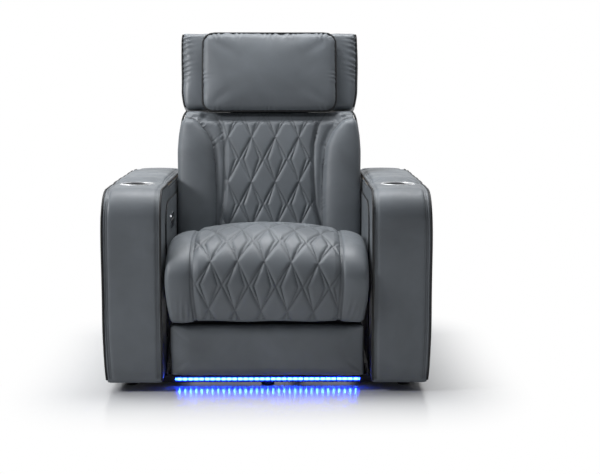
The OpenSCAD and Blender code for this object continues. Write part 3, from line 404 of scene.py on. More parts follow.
def finish_piece(obj, body, key, slot, *nodes, fill=None):
    """Shades a piece, gives it its finish and seats it on its body."""
    pick(obj)
    bpy.ops.object.shade_smooth_by_angle(angle=math.radians(50))
    obj.data.materials.clear()
    obj.data.materials.append(finish(key))
    if nodes:
        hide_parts(*nodes)
    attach(obj, body)


def finish_piping(name, body, *parts):
    """Joins lengths of black piping into one piece and seats it on its body."""
    finish_piece(join(name, parts), body, "piping", "leather")


def cut_away(obj, cutter):
    m = obj.modifiers.new("Cut", "BOOLEAN")
    m.operation, m.solver, m.object = "DIFFERENCE", "MANIFOLD", cutter
    apply_all(obj)
    bpy.data.objects.remove(cutter)


def cut_box(obj, low, high):
    cut_away(obj, box_of("cutter", low, high))


def cut_drum(obj, r, x, y, z0, z1):
    clear_selection()
    bpy.ops.mesh.primitive_cylinder_add(vertices=96, radius=r, depth=z1 - z0, location=(x, y, (z0 + z1) / 2))
    bpy.ops.object.transform_apply(location=True, rotation=True, scale=True)
    cut_away(obj, bpy.context.object)


def leaned(x, y, z):
    """World place of a point given in the back's own leaning frame, in metres."""
    sin, cos = math.sin(LEAN), math.cos(LEAN)
    return np.stack([x, PIVOT_Y + y * cos + z * sin, PIVOT_Z - y * sin + z * cos], -1)


def round_corners(px, py, a, b, r):
    """Moves points on the edge of a rectangle of half sizes a and b onto its corners of radius r."""
    cx, cy = np.sign(px) * (a - r), np.sign(py) * (b - r)
    corner = (abs(px) > a - r) & (abs(py) > b - r)
    dx, dy = px - cx, py - cy
    size = np.maximum(np.hypot(dx, dy), 1e-9)
    return np.where(corner, cx + dx / size * r, px), np.where(corner, cy + dy / size * r, py)


def rounded_grid(nu, nv, a, b, r):
    """An nu by nv grid over a rounded rectangle; returns x, y and the share of the way to its edge."""
    s, t = np.meshgrid(np.linspace(-1, 1, nu), np.linspace(-1, 1, nv), indexing="ij")
    m = np.maximum(abs(s), abs(t))
    safe = np.maximum(m, 1e-9)
    px, py = round_corners(s / safe * a, t / safe * b, a, b, r)
    return m * px, m * py, m


def rectangle_ring(n, a, b):
    """n points round the edge of a rectangle of half sizes a and b, at even angles."""
    t = np.linspace(0, 2 * math.pi, n, endpoint=False)
    c, s = np.cos(t), np.sin(t)
    m = np.maximum(abs(c) / a, abs(s) / b)
    return c / m, s / m


# Finishes

LED_PITCH = 0.0165
LED_POWER = 50.0
LED_PHASE = 50.5
LED_EDGE = (0.2 * 0.03, 0.3 * 0.03, 0.03)
# Colour of the shade painted into the sewn seams
SEAM_SHADE_COLOUR = (0.006, 0.007, 0.009)
FOOT_BLACK = (0.008, 0.008, 0.009)
WELL_SHADE = (0.004, 0.004, 0.005)


def feed(tree, n, inputs):
    """Gives the inputs of a node, by name or number, a plain value or a link from a socket."""
    for key, value in inputs.items():
        if isinstance(value, bpy.types.NodeSocket):
            tree.links.new(value, n.inputs[key])
        else:
            n.inputs[key].default_value = value


def node_of(tree, kind, inputs=None, **values):
    n = tree.nodes.new(kind)
    for key, value in values.items():
        setattr(n, key, value)
    feed(tree, n, inputs or {})
    return n


def group_tree(name, inputs, outputs):
    """A shader node group with named sockets; returns the tree with its input and output nodes."""
    tree = bpy.data.node_groups.new(name, "ShaderNodeTree")
    for kind, label, value in inputs:
        s = tree.interface.new_socket(label, in_out="INPUT", socket_type="NodeSocket" + kind)
        s.default_value = value
    for kind, label in outputs:
        tree.interface.new_socket(label, in_out="OUTPUT", socket_type="NodeSocket" + kind)
    return tree, tree.nodes.new("NodeGroupInput"), tree.nodes.new("NodeGroupOutput")


def math_node(tree, operation, *values, clamp=False):
    return node_of(tree, "ShaderNodeMath", dict(enumerate(values)), operation=operation, use_clamp=clamp).outputs[0]


def remap(tree, value, low, high, to_low=0.0, to_high=1.0):
    inputs = {"Value": value, "From Min": low, "From Max": high, "To Min": to_low, "To Max": to_high}
    return node_of(tree, "ShaderNodeMapRange", inputs, clamp=True).outputs["Result"]


def object_place(tree):
    return node_of(tree, "ShaderNodeTexCoord").outputs["Object"]


def split_place(tree, place):
    return node_of(tree, "ShaderNodeSeparateXYZ", {"Vector": place}).outputs


def stretched(tree, scale):
    """The object's coordinates, scaled along each axis."""
    return node_of(tree, "ShaderNodeMapping", {"Scale": scale, "Vector": object_place(tree)}).outputs["Vector"]


def noise(tree, scale, detail, distortion=0.0, vector=None):
    inputs = {"Scale": scale, "Detail": detail, "Distortion": distortion, "Vector": vector or object_place(tree)}
    return node_of(tree, "ShaderNodeTexNoise", inputs).outputs["Fac"]


def bands(tree, direction, scale, distortion=0.0):
    inputs = {"Scale": scale, "Distortion": distortion, "Vector": object_place(tree)}
    return node_of(tree, "ShaderNodeTexWave", inputs, wave_type="BANDS", bands_direction=direction).outputs["Fac"]


def blend_colour(tree, factor, a, b):
    a, b = (c if isinstance(c, bpy.types.NodeSocket) else (*c, 1) for c in (a, b))
    return node_of(tree, "ShaderNodeMix", {"Factor": factor, 6: a, 7: b}, data_type="RGBA").outputs[2]


def tinted(colour, factor):
    return tuple(c * factor for c in colour)


def grain_group():
    """Pebbled leather grain with soft wrinkles: height for a Bump, tone patches and the shine of the folds."""
    if "Leather Grain" in bpy.data.node_groups:
        return bpy.data.node_groups["Leather Grain"]
    tree, inp, out = group_tree(
        "Leather Grain",
        [("Float", "Scale", 520.0), ("Float", "Wrinkles", 0.5)],
        [("Float", "Height"), ("Float", "Tone"), ("Float", "Shine")],
    )
    where = object_place(tree)
    cells = node_of(tree, "ShaderNodeTexVoronoi", {"Vector": where, "Scale": inp.outputs["Scale"]}, feature="F1")
    pebbles = math_node(tree, "MULTIPLY", remap(tree, cells.outputs["Distance"], 0.1, 0.7, 1, 0), 0.12)
    folds = noise(tree, 22.0, 6, 1.6, where)
    soft = noise(tree, 7.0, 3, 0.4, where)
    height = math_node(tree, "MULTIPLY_ADD", folds, inp.outputs["Wrinkles"], pebbles)
    feed(tree, out, {"Height": height, "Tone": remap(tree, soft, 0.3, 0.7), "Shine": remap(tree, folds, 0.35, 0.7)})
    return tree


def painted_seam_shade_group():
    """Darkens the sewn seams with painted shade and shifts the tone of the leather a little from place to place."""
    if "Seam Painted Shade" in bpy.data.node_groups:
        return bpy.data.node_groups["Seam Painted Shade"]
    tree, inp, out = group_tree(
        "Seam Painted Shade",
        [("Color", "Colour", (0.1, 0.1, 0.1, 1)), ("Float", "Depth", 0.6), ("Float", "Tone", 0.5)],
        [("Color", "Colour")],
    )
    seam = node_of(tree, "ShaderNodeAttribute", attribute_name="seam").outputs["Fac"]
    # Painted shade: the seam mask blends the leather toward a near-black colour along the sewn lines.
    dark = math_node(tree, "MULTIPLY", seam, inp.outputs["Depth"], clamp=True)
    tone = remap(tree, inp.outputs["Tone"], 0, 1, 0.86, 1.14)
    shade = node_of(tree, "ShaderNodeHueSaturation", {"Color": inp.outputs["Colour"], "Value": tone})
    feed(tree, out, {"Colour": blend_colour(tree, dark, shade.outputs["Color"], SEAM_SHADE_COLOUR)})
    return tree


def material(name, colour, rough, metallic=0.0):
    """A new material with a Principled BSDF; returns it, its tree and the shader."""
    mat = bpy.data.materials.new(name)
    mat.use_nodes = True
    tree = mat.node_tree
    shader = tree.nodes["Principled BSDF"]
    feed(tree, shader, {"Base Color": (*colour, 1), "Roughness": rough, "Metallic": metallic})
    mat.diffuse_color = (*colour, 1)
    return mat, tree, shader


def bump(tree, shader, height, strength, depth):
    n = node_of(tree, "ShaderNodeBump", {"Strength": strength, "Distance": depth, "Height": height})
    feed(tree, shader, {"Normal": n.outputs["Normal"]})


def leather(name, colour, rough=0.48, wrinkles=0.5, scale=520.0, seam=0.36):
    mat, tree, shader = material(name, colour, rough)
    grain = node_of(tree, "ShaderNodeGroup", node_tree=grain_group())
    feed(tree, grain, {"Scale": scale, "Wrinkles": wrinkles})
    shade = node_of(tree, "ShaderNodeGroup", node_tree=painted_seam_shade_group())
    # The seam argument sets how strongly the painted seam shade darkens this leather.
    feed(tree, shade, {"Colour": (*colour, 1), "Depth": seam, "Tone": grain.outputs["Tone"]})
    gloss = remap(tree, grain.outputs["Shine"], 0, 1, rough + 0.08, rough - 0.05)
    feed(tree, shader, {"Base Color": shade.outputs["Colour"], "Roughness": gloss})
    bump(tree, shader, grain.outputs["Height"], 0.35, 0.0012)
    return mat


def brushed(name, colour, rough, stretch):
    """Metal with fine drawn lines along the axis that stretch makes short."""
    mat, tree, shader = material(name, colour, rough, 1.0)
    lines = noise(tree, 300.0, 3, 0, stretched(tree, stretch))
    patches = remap(tree, noise(tree, 14.0, 4, 0.3), 0.35, 0.7)
    tone = blend_colour(tree, patches, colour, tinted(colour, 0.72))
    feed(tree, shader, {"Base Color": tone, "Roughness": remap(tree, lines, 0.3, 0.7, rough - 0.05, rough + 0.1)})
    bump(tree, shader, lines, 0.3, 0.0002)
    return mat


def plastic(name, colour, rough, scale=900.0):
    mat, tree, shader = material(name, colour, rough)
    gloss = remap(tree, noise(tree, 18.0, 4), 0.3, 0.7, rough - 0.06, rough + 0.08)
    patches = remap(tree, noise(tree, 9.0, 3), 0.3, 0.7)
    feed(tree, shader, {"Base Color": blend_colour(tree, patches, colour, tinted(colour, 1.25)), "Roughness": gloss})
    bump(tree, shader, noise(tree, scale, 2), 0.25, 0.0002)
    return mat


def above(tree, height):
    """Mask that is 1 above a height of the object and 0 below it."""
    return math_node(tree, "GREATER_THAN", split_place(tree, object_place(tree))["Z"], height)


def plywood(name, colour):
    """Birch plywood, near black at its foot, where no leather covers it."""
    mat, tree, shader = material(name, colour, 0.62)
    grain = noise(tree, 60.0, 6, 0.8, stretched(tree, (1, 0.12, 1)))
    mixed = math_node(tree, "MULTIPLY_ADD", bands(tree, "Z", 60.0, 0.4), 0.25, grain)
    wood = blend_colour(tree, remap(tree, mixed, 0.35, 0.95), tinted(colour, 0.6), colour)
    # Near black below 6 mm above the arm's foot.
    feed(tree, shader, {"Base Color": blend_colour(tree, above(tree, ARM_LOW + 0.006), FOOT_BLACK, wood)})
    bump(tree, shader, grain, 0.3, 0.0004)
    return mat


def cup_steel(name, colour, rough, stretch):
    """A bright flange over a well painted black as its shade."""
    mat = brushed(name, colour, rough, stretch)
    tree, shader = mat.node_tree, mat.node_tree.nodes["Principled BSDF"]
    # Painted shade: below the flange the well is near black and not metallic, standing for the shadow inside the cup.
    flange = above(tree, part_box("cup_holder_right")[1].z - 0.0045)
    tone = blend_colour(tree, flange, WELL_SHADE, shader.inputs["Base Color"].links[0].from_socket)
    feed(tree, shader, {"Base Color": tone, "Metallic": math_node(tree, "MULTIPLY", flange, 0.55)})
    return mat


def webbing(name, colour):
    mat, tree, shader = material(name, colour, 0.85)
    weave = bands(tree, "DIAGONAL", 220.0)
    feed(tree, shader, {"Base Color": blend_colour(tree, weave, (0.012, 0.012, 0.014), (0.06, 0.06, 0.065))})
    bump(tree, shader, weave, 0.5, 0.0005)
    return mat


def light_strip(name, glow):
    """The glowing tape: deep blue between white-blue chips in groups of three, and short dashes, five times as bright,
    painted into its reflection only.
    """
    mat, tree, shader = material(name, (0.02, 0.05, 0.4), 0.4)

    def step(operation, *values):
        return math_node(tree, operation, *values)

    def off_middle(count):
        return step("ABSOLUTE", step("SUBTRACT", step("FRACT", count), 0.5))

    place = split_place(tree, object_place(tree))
    low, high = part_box("led_strip")
    chips = step("MULTIPLY_ADD", place["X"], 1 / LED_PITCH, LED_PHASE)
    off = off_middle(chips)
    # Painted reflection: glossy rays see narrower chips glowing five times as bright, so the floor shows strong
    # streaks.
    in_mirror = node_of(tree, "ShaderNodeLightPath").outputs["Is Glossy Ray"]
    to_eye = step("SUBTRACT", 1.0, in_mirror)
    wide = step("MULTIPLY", remap(tree, off, 0.30, 0.46, 1, 0), to_eye)
    narrow = step("MULTIPLY", remap(tree, off, 0.08, 0.20, 1, 0), in_mirror)
    bridge = step("MULTIPLY", remap(tree, off_middle(step("DIVIDE", chips, 3.0)), 0.42, 0.47, 0.45, 0), to_eye)
    up = step("ABSOLUTE", step("SUBTRACT", place["Z"], (low.z + high.z) / 2))
    core = remap(tree, up, 0.0022, 0.0042, 1, 0)
    lit = step("MULTIPLY", step("MAXIMUM", step("MAXIMUM", wide, narrow), bridge), core)
    edge = tuple(c * LED_POWER * e for c, e in zip(glow, LED_EDGE))
    tone = blend_colour(tree, lit, edge, tinted(glow, LED_POWER))
    feed(tree, shader, {"Emission Color": tone, "Emission Strength": remap(tree, in_mirror, 0, 1, 1.0, 5.0)})
    return mat


def finish(key):
    """The material of one of the finishes, made when it is first asked for."""
    hide, cord = tuple(colours().hide), tuple(colours().piping)
    table = {
        "leather": (leather, "Slate leather", hide),
        "bolster": (leather, "Slate leather, gathered", hide, 0.40, 0.9),
        "leather_panel": (leather, "Slate leather, side panels", tinted(hide, 0.9), 0.5, 0.35, 640.0),
        "piping": (leather, "Black piping", cord, 0.6, 0.2, 800.0, 0.0),
        "carcass_wood": (plywood, "Birch plywood", (0.52, 0.36, 0.20)),
        "black_steel": (plastic, "Black powder coat", (0.012, 0.012, 0.014), 0.45, 1400.0),
        "zinc_steel": (brushed, "Black zinc plated steel", (0.07, 0.07, 0.075), 0.40, (1, 0.05, 1)),
        "cup": (cup_steel, "Stainless steel over a black well", (0.93, 0.94, 0.95), 0.38, (1, 1, 0.02)),
        "stainless": (brushed, "Stainless steel", (0.72, 0.73, 0.74), 0.14, (1, 1, 0.02)),
        "black_plastic": (plastic, "Black moulded plastic", (0.014, 0.014, 0.016), 0.38),
        "white_plastic": (plastic, "White nylon", (0.68, 0.68, 0.66), 0.5),
        "webbing": (webbing, "Woven webbing", (0.03, 0.03, 0.033)),
        "blue_light": (light_strip, "Light tape", tuple(colours().glow)),
    }
    make, name, *values = table[key]
    return bpy.data.materials.get(name) or make(name, *values)


# Shapes shared by several pieces

# Strength of the shade painted along the quilting lines
QUILT_LINE_SHADE = 0.75


def spread(n, edge=0.0):
    """n + 1 places from 0 to 1, closer together near both ends as edge goes from 0 to 1."""
    t = np.linspace(0, 1, n + 1)
    return t * (1 - edge) + edge * (0.5 - 0.5 * np.cos(math.pi * t))


def edge_round(d, r):
    """Drop of a rounded edge of radius r at the distance d from the side."""
    t = np.clip(1 - d / r, 0, 1)
    return r * (1 - np.sqrt(np.maximum(0, 1 - t * t)))


def tufted(obj, height, seam):
    """Moves each point of a cover along its normal by height, and keeps the seam mask, which paints shade into the
    seams.
    """
    set_coords(obj, coords(obj) + normals(obj) * height[:, None])
    set_field(obj, "seam", np.clip(seam, 0, 1))


def piping_on(name, obj, points, closed=False, lift=0.3):
    """Black piping sewn along points of a cover, its middle raised by a share of its radius."""
    r = sizes().piping_r
    raised = r * lift
    pick(obj)
    tree = BVHTree.FromObject(obj, bpy.context.evaluated_depsgraph_get())
    line = []
    for p in points:
        place, normal, _, _ = tree.find_nearest(Vector(p))
        line.append(place + normal * raised)
    return cord_mesh(name, line, r, closed)


def pad(name, a, b, r, front, depth, nu, nv, crown, power=2.6, walls=5, bulge=0.004, rim=0.010):
    """A crowned pad over a rounded rectangle of half sizes a and b, from its face at front to a flat back at depth."""
    x, z, m = rounded_grid(nu, nv, a, b, r)
    edge = edge_round((1 - m) * min(a, b), rim)
    face = front - crown * (1 - abs(x / a) ** power) * (1 - abs(z / b) ** power) + edge
    return slab(name, grid(x, face, z), grid(x, depth, z), x, z, walls, bulge)


def lean_back(obj):
    set_coords(obj, leaned(*coords(obj).T))


# Seat cushion

SEAT_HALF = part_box("seat_cushion")[1].x
SEAT_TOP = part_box("seat_cushion")[1].z - 0.006
SEAT_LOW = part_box("seat_cushion")[0].z
SEAT_FRONT = FRONT - 0.015
SEAT_END = FRONT + 0.497
SEAT_SEAM = 0.218
CROWN_Y = FRONT + 0.200
ROLL_Z = 0.330
ROLL_POWER = 2 / 2.3
UNDER_Z = 0.347
# Half width of the dark sheet that paints shade into the gap under the seat's front
SHADE_FLAP_HALF = 0.278


def seat_line(flat=20, roll=30, drop=14):
    """The seat's outline from its rear edge over the front roll to its lower edge, and its length from the crown."""
    t = 1 - np.arange(flat) / flat
    a = np.radians(90 * np.arange(roll) / roll)
    s = np.arange(drop + 1) / drop
    roll_y = CROWN_Y - (CROWN_Y - SEAT_FRONT) * np.sin(a) ** ROLL_POWER
    roll_z = ROLL_Z + (SEAT_TOP - ROLL_Z) * np.cos(a) ** ROLL_POWER
    y = np.concatenate([CROWN_Y + (SEAT_END - CROWN_Y) * t, roll_y, SEAT_FRONT + 0.020 * s**2.5])
    z = np.concatenate([SEAT_TOP - 0.048 * t**1.6, roll_z, ROLL_Z + (SEAT_LOW - ROLL_Z) * s])
    run = np.concatenate([[0], np.cumsum(np.hypot(np.diff(y), np.diff(z)))])
    even = np.linspace(0, run[-1], int(run[-1] / 0.0095))
    return np.interp(even, run, y), np.interp(even, run, z), even - run[flat]


def seat_blank(x, y, z, v):
    """The seat's cover before it is quilted, closed underneath."""
    dy, dz = np.gradient(y), np.gradient(z)
    size = np.hypot(dy, dz)
    bolster = 0.008 * np.sin(math.pi * share(abs(x), SEAT_SEAM, SEAT_HALF)) ** 0.5
    rise = np.where(abs(x) > SEAT_SEAM, bolster, 0.001) - edge_round(SEAT_HALF - abs(x), 0.012)
    ends = edge_round(v - v[0], 0.012) + edge_round(v[-1] - v, 0.005)
    lift = rise - ends[:, None]
    sway = 0.0016 * np.sin(x * 31 + 0.6) * share(v, v[-1] - 0.10, v[-1])[:, None]
    sway = sway - share(z, ROLL_Z, SEAT_TOP)[:, None] * (0.008 + 0.025 * (x / SEAT_SEAM) ** 2)
    waist = 1 - 0.045 * (np.clip((0.333 - z) / 0.122, 0, 1) ** 1.5)[:, None]
    top = grid(x * waist, y[:, None] + (dz / size)[:, None] * lift, z[:, None] - (dy / size)[:, None] * lift + sway)
    way = np.linspace(0, 1, len(v))[:, None]
    under_y = np.interp(way, [0, 0.46, 0.72, 1], [SEAT_END - 0.004, FRONT + 0.17, FRONT + 0.064, FRONT + 0.052])
    under_z = np.interp(way, [0, 0.72, 1], [UNDER_Z, UNDER_Z, SEAT_LOW + 0.006])
    low = grid(x * waist * (1 - 0.003 / SEAT_HALF), under_y, under_z)
    return slab("seat_cushion_cover", top, low, x, v[:, None], walls=7)


def build_seat():
    y, z, v = seat_line()
    obj = seat_blank((2 * spread(62, 0.25) - 1) * SEAT_HALF, y, z, v)
    u, w, face = cover_fields(obj)
    held = (face < 0.98) | (abs(abs(u) - SEAT_SEAM) < 0.008) | (w < v[0] + 0.02) | (w > v[-1] - 0.02)
    u, w, face = filled(obj, held, cap=0.004)
    from_seam = abs(u) - SEAT_SEAM
    puff, line = quilt(u + 0.007 + 0.07 * (w - 0.231), w - 0.081 - 0.03 * u)
    inside = face * (from_seam < -0.001) * (w > v[0] + 0.03) * (w < v[-1] - 0.012)
    double = twin_lines(from_seam, 0.0035)
    height = inside * puff * 1.2 * np.minimum(1, 0.15 + np.clip(-from_seam / 0.024, 0, 1))
    height += face * (crease(double, 0.0022, 0.0028) + crease(from_seam, 0.009, 0.0016))
    left_folds = hump(w - 0.385, 0.028) * hump(u + 0.243, 0.022)
    folds = face * (from_seam > 0.004) * (left_folds + 0.3 * hump(w - 0.38, 0.03) * (u > 0))
    height += folds * (0.0016 * np.sin(u * 380 + w * 60) + 0.0008 * np.sin(u * 200 - w * 40))
    height += face * 0.0012 * np.sin(u * 17 + 1.3) * np.sin(w * 21 + 0.4)
    # Painted shade in the quilting lines and in the twin stitch lines beside the bolsters.
    tufted(obj, height, face * np.maximum(inside * line * QUILT_LINE_SHADE, hump(double, 0.0016)))
    finish_piece(obj, "carriage", "leather", "leather", "seat_cushion", fill=0.8)
    # Painted shade: a dark webbing sheet fills the gap under the seat's front, where shade falls.
    y = FRONT + 0.0535
    shade_flap = box_of("gap_shade_flap", (-SHADE_FLAP_HALF, y, SEAT_LOW - 0.019), (SHADE_FLAP_HALF, y + 0.0012, SEAT_LOW + 0.004))
    finish_piece(shade_flap, "carriage", "webbing", "webbing")


# Back cushion, in the back's own frame: x to the side, y to the rear, z up along the back

BACK_HALF = 0.2965
BACK_Z = (0.060, 0.500)
BACK_TALL = BACK_Z[1] - BACK_Z[0]
BACK_FACE = -0.095
BACK_REAR = -0.0355
BOLSTER_TOP = 0.477
# Room for the pillow when the headrest tilts: how far down from the back's top, how far behind its face
ROOM_DOWN = [0, 0.006, 0.017, 0.024, 0.031, 0.041, 0.050]
ROOM_BACK = [0.020, 0.0192, 0.0170, 0.0138, 0.0092, 0.0022, 0]
# Lines of the right half, mirrored to the left: the edge of the quilting and the edge of the bolster
QUILT_Z = [0.060, 0.121, 0.187, 0.272, 0.379, 0.415, 0.443, 0.500]
QUILT_X = [0.178, 0.164, 0.1500, 0.1447, 0.1450, 0.153, 0.160, 0.190]
COLLAR_Z = [0.060, 0.115, 0.231, 0.314, 0.377, 0.424, 0.453, 0.468, 0.477]
COLLAR_X = [0.176, 0.1718, 0.1722, 0.1750, 0.184, 0.205, 0.228, 0.245, 0.290]


def back_lines(ax, z):
    """Distances of places on the back to the edge of its quilting and to the edge of its bolster."""
    points = np.stack([ax, z], -1)
    return [distance(points, np.stack(line, -1)) for line in ((QUILT_X, QUILT_Z), (COLLAR_X, COLLAR_Z))]


def behind_pillow(ax):
    """1 where the pillow stands before the back, falling to 0 beside it."""
    return np.clip((0.248 - ax) / 0.026, 0, 1)


def shoulder(z):
    """How far the back's sides draw in at a height."""
    return np.interp(z, [0.36, 0.41, 0.44, 0.465, 0.483, 0.500], [0, 0.002, 0.0055, 0.0100, 0.0150, 0.0225])


def back_blank(nx=64, nz=50):
    """The back's cover before it is quilted."""
    x = (2 * spread(nx, 0.3) - 1) * (BACK_HALF - 0.002)
    t = spread(nz, 0.25)[:, None]
    z = BACK_Z[0] + BACK_TALL * t
    down = BACK_Z[1] - z
    collar = np.interp(z, COLLAR_Z, COLLAR_X)
    over = np.clip((abs(x) - collar) / np.maximum(BACK_HALF + 0.012 - collar, 0.02), 0, 1)
    bolster = 0.022 * np.sin(math.pi * over) ** 0.6 * np.clip(down / 0.05, 0, 1)
    under = behind_pillow(abs(x))
    under = under**2 * (3 - 2 * under)
    roof = edge_round(down, 0.026) * (1 - under) + np.interp(down, ROOM_DOWN, ROOM_BACK) * under
    edges = edge_round(BACK_HALF - abs(x), 0.014) + edge_round(z - BACK_Z[0], 0.022)
    face = BACK_FACE - 0.010 * np.sin(math.pi * t) - bolster + edges + roof
    x = x * (1 - shoulder(z) / BACK_HALF)
    sunk = 0.006 * under * np.clip((z - 0.430) / 0.070, 0, 1) ** 2
    low = grid(x * 0.995, BACK_REAR, BACK_Z[0] + 0.002 + t * (BACK_TALL - 0.008) - sunk)
    return slab("back_cushion_cover", grid(x, face, z - sunk), low, x, z, walls=5, bulge=0.0005)


def build_back():
    obj = back_blank()
    u, w, front = cover_fields(obj)
    ax = abs(u)
    to_quilt, to_collar = back_lines(ax, w)
    sewn = (to_quilt < 0.007) | (to_collar < 0.007)
    u, w, front = filled(obj, (front < 0.98) | sewn | (BACK_HALF - ax < 0.012) | (w > 0.446), cap=0.008)
    ax = abs(u)
    to_quilt, to_collar = back_lines(ax, w)
    in_quilt = ax < np.interp(w, QUILT_Z, QUILT_X)
    in_bolster = (ax > np.interp(w, COLLAR_Z, COLLAR_X)) & (w < BOLSTER_TOP)
    inside, bolster, collar = front * in_quilt, front * in_bolster, front * ~in_quilt * ~in_bolster
    puff, line = quilt(u - 0.020, w - 0.554)
    height = inside * puff * 1.25 * np.minimum(1, 0.25 + to_quilt / 0.014)
    height += front * (crease(to_quilt, 0.009, 0.0035) + crease(to_collar, 0.013, 0.0060))
    height += front * crease(to_quilt - 0.0035, 0.0020, 0.0016)
    height += bolster * pillow(to_collar, 0.050, 0.007)
    curved = 0.25 + 0.75 * np.clip((w - 0.34) / 0.06, 0, 1)
    gathers = curved * ripple(w + ax * 0.9, np.minimum(to_quilt, to_collar), 0.013, 0.0014, 0.016, 0.4)
    height += collar * (0.0030 * np.sqrt(np.clip(to_quilt / 0.02, 0, 1)) + gathers)
    swells = 0.0012 * np.sin(w * 29 + ax * 13)
    height += bolster * (ripple(w - ax * 0.3, to_collar, 0.019, 0.0008, 0.012, 1.1) + swells)
    under = behind_pillow(ax)
    height *= np.clip((BACK_Z[1] - 0.004 - 0.026 * under - w) / (0.030 - 0.006 * under), 0, 1)
    # Painted shade in the quilting lines and along the edges of the quilting and of the bolsters.
    seam = np.maximum.reduce([inside * line * QUILT_LINE_SHADE, hump(to_quilt, 0.0020), hump(to_collar, 0.0020)])
    tufted(obj, height, front * seam)
    lean_back(obj)
    finish_piece(obj, "back", "leather", "leather", "back_cushion", fill=0.85)
    zs = np.linspace(BACK_Z[0] + 0.004, BACK_Z[1] - 0.003, 60)
    xs = BACK_HALF - shoulder(zs) + 0.0008
    ys = BACK_FACE + 0.001 + 0.026 * np.clip((zs - 0.470) / 0.028, 0, 1) ** 2
    cords = [cord_mesh("back_piping", leaned(k * xs, ys, zs), sizes().piping_r) for k in (-1, 1)]
    finish_piping("back_piping", "back", *cords)


# Outside back

SHELL_HALF = BACK_HALF - 0.0015
SHELL_PANEL_X = 0.215
SHELL_PANEL_Z = 0.335
SKIRT_HALF = 0.2505
SKIRT_Z = (-0.0895, 0.1545)
HEM = 0.014


def build_shell():
    """The leather-covered outside back: two broad panels with a seam, and the skirt that covers the mechanism."""
    z = np.linspace(0.061, 0.4845, 40)
    depth = np.interp(z, [0.060, 0.0915, 0.468, 0.486], [0.016, 0.108, 0.068, 0.045])
    rear = np.minimum(depth, np.interp(z, [0.061, 0.075, 0.478, 0.4855], [0.085, 0.110, 0.068, 0.045]))
    x = (2 * spread(44, 0.3) - 1) * SHELL_HALF
    out = np.maximum(rear[:, None] - edge_round(SHELL_HALF - abs(x), 0.022), 0.0165)
    obj = slab("back_shell_cover", grid(x, out, z[:, None]), grid(x, 0.0155, z[:, None]), x, z[:, None])
    subdivide(obj, 2)
    u, w, face = cover_fields(obj)
    d_side, d_cross = abs(abs(u) - SHELL_PANEL_X), abs(w - SHELL_PANEL_Z)
    double = np.minimum(abs(d_side - 0.0035), abs(d_cross - 0.0035))
    groove = crease(double, 0.0018, 0.0016) + crease(np.minimum(d_side, d_cross), 0.010, 0.0025)
    height = face * (groove + 0.0012 * np.sin(u * 19 + 0.4) * np.sin(w * 23))
    # Painted shade along the twin stitch lines of the panel seams.
    tufted(obj, height, face * hump(double, 0.0016))
    lean_back(obj)

    x = (2 * spread(30, 0.2) - 1) * SKIRT_HALF
    z = np.linspace(*SKIRT_Z, 24)[:, None]
    out = 0.0715 - edge_round(SKIRT_HALF - abs(x), 0.005) - edge_round(z - SKIRT_Z[0], 0.005)
    skirt = slab("back_skirt", grid(x, out, z), grid(x, 0.0605, z), x, z, walls=3)
    subdivide(skirt, 1)
    u, w, face = cover_fields(skirt)
    hem = abs(w - SKIRT_Z[0] - HEM)
    # Painted shade along the hem's stitch line.
    tufted(skirt, face * (crease(hem, 0.002, 0.0012) + 0.0008 * np.sin(u * 37)), face * hump(hem, 0.0016))
    lean_back(skirt)
    for piece in (obj, skirt):
        finish_piece(piece, "back", "leather_panel", "leather_panel", "back_shell")
    zs = np.linspace(0.070, 0.478, 50)
    rim = np.interp(zs, np.linspace(0.061, 0.4845, 40), rear) - 0.006
    lines = [leaned(np.full_like(zs, k * (SHELL_HALF - 0.008)), rim, zs) for k in (-1, 1)]
    finish_piping("shell_piping", "back", *[piping_on("shell_piping", obj, line, lift=0.2) for line in lines])


# Headrest, in the back's own frame

HEAD_Z = (0.505, 0.767)
HEAD_MID = (HEAD_Z[0] + HEAD_Z[1]) / 2
WING_HALF = 0.2925
WING_TALL = (HEAD_Z[1] - HEAD_Z[0]) / 2 - 0.001
PILLOW_HALF = 0.2205
PILLOW_TALL = 0.1318
PILLOW_R = 0.036
PILLOW_MID = HEAD_MID - 0.0115


def wing_width(z):
    """Width share of the wings at a height: a little narrower toward the lower edge."""
    return 1 - 0.040 * np.clip((0.570 - z) / 0.065, 0, 1) ** 1.5


def build_wings():
    a = WING_HALF
    obj = pad(
        "headrest_wings_cover", a, WING_TALL, 0.014, -0.078, 0.030, 60, 34, 0.012, 3.4, 8, bulge=0.003, rim=0.011
    )
    u, w, front = cover_fields(obj)
    u, w, front = filled(obj, (front < 0.55) | (abs(abs(u) - 0.212) < 0.010), cap=0.006)
    edge = a - abs(u)
    wing = np.clip((abs(u) - 0.215) / 0.01, 0, 1) * np.clip(front * 2 - 0.6, 0, 1)
    gathered = wing * np.clip(edge / 0.006, 0, 1) * np.clip((w + 0.060) / 0.06, 0, 1)
    along = w + 0.22 * abs(u) + 0.004 * np.sin(w * 61)
    height = gathered * 0.0032 * np.exp(-edge / 0.013) * np.sin(2 * math.pi * along / 0.0190)
    height += gathered * ripple(w - 0.45 * abs(u), edge, 0.0125, 0.0008, 0.010, 2.2)
    height += wing * 0.0012 * np.sin(w * 27 + u * 23)
    tufted(obj, height, wing * 0)
    x, y, z = coords(obj).T
    z = z + HEAD_MID
    set_coords(obj, leaned(x * wing_width(z), np.clip(y, -0.0985, 0.0355), z))
    finish_piece(obj, "headrest", "bolster", "leather", "headrest_wings", fill=0.85)
    zs = HEAD_MID + np.linspace(-1, 1, 60) * (WING_TALL - 0.003)
    lines = [leaned(k * (a + 0.004) * wing_width(zs), np.full_like(zs, -0.071), zs) for k in (-1, 1)]
    finish_piping("wing_piping", "headrest", *[piping_on("wing_piping", obj, line) for line in lines])


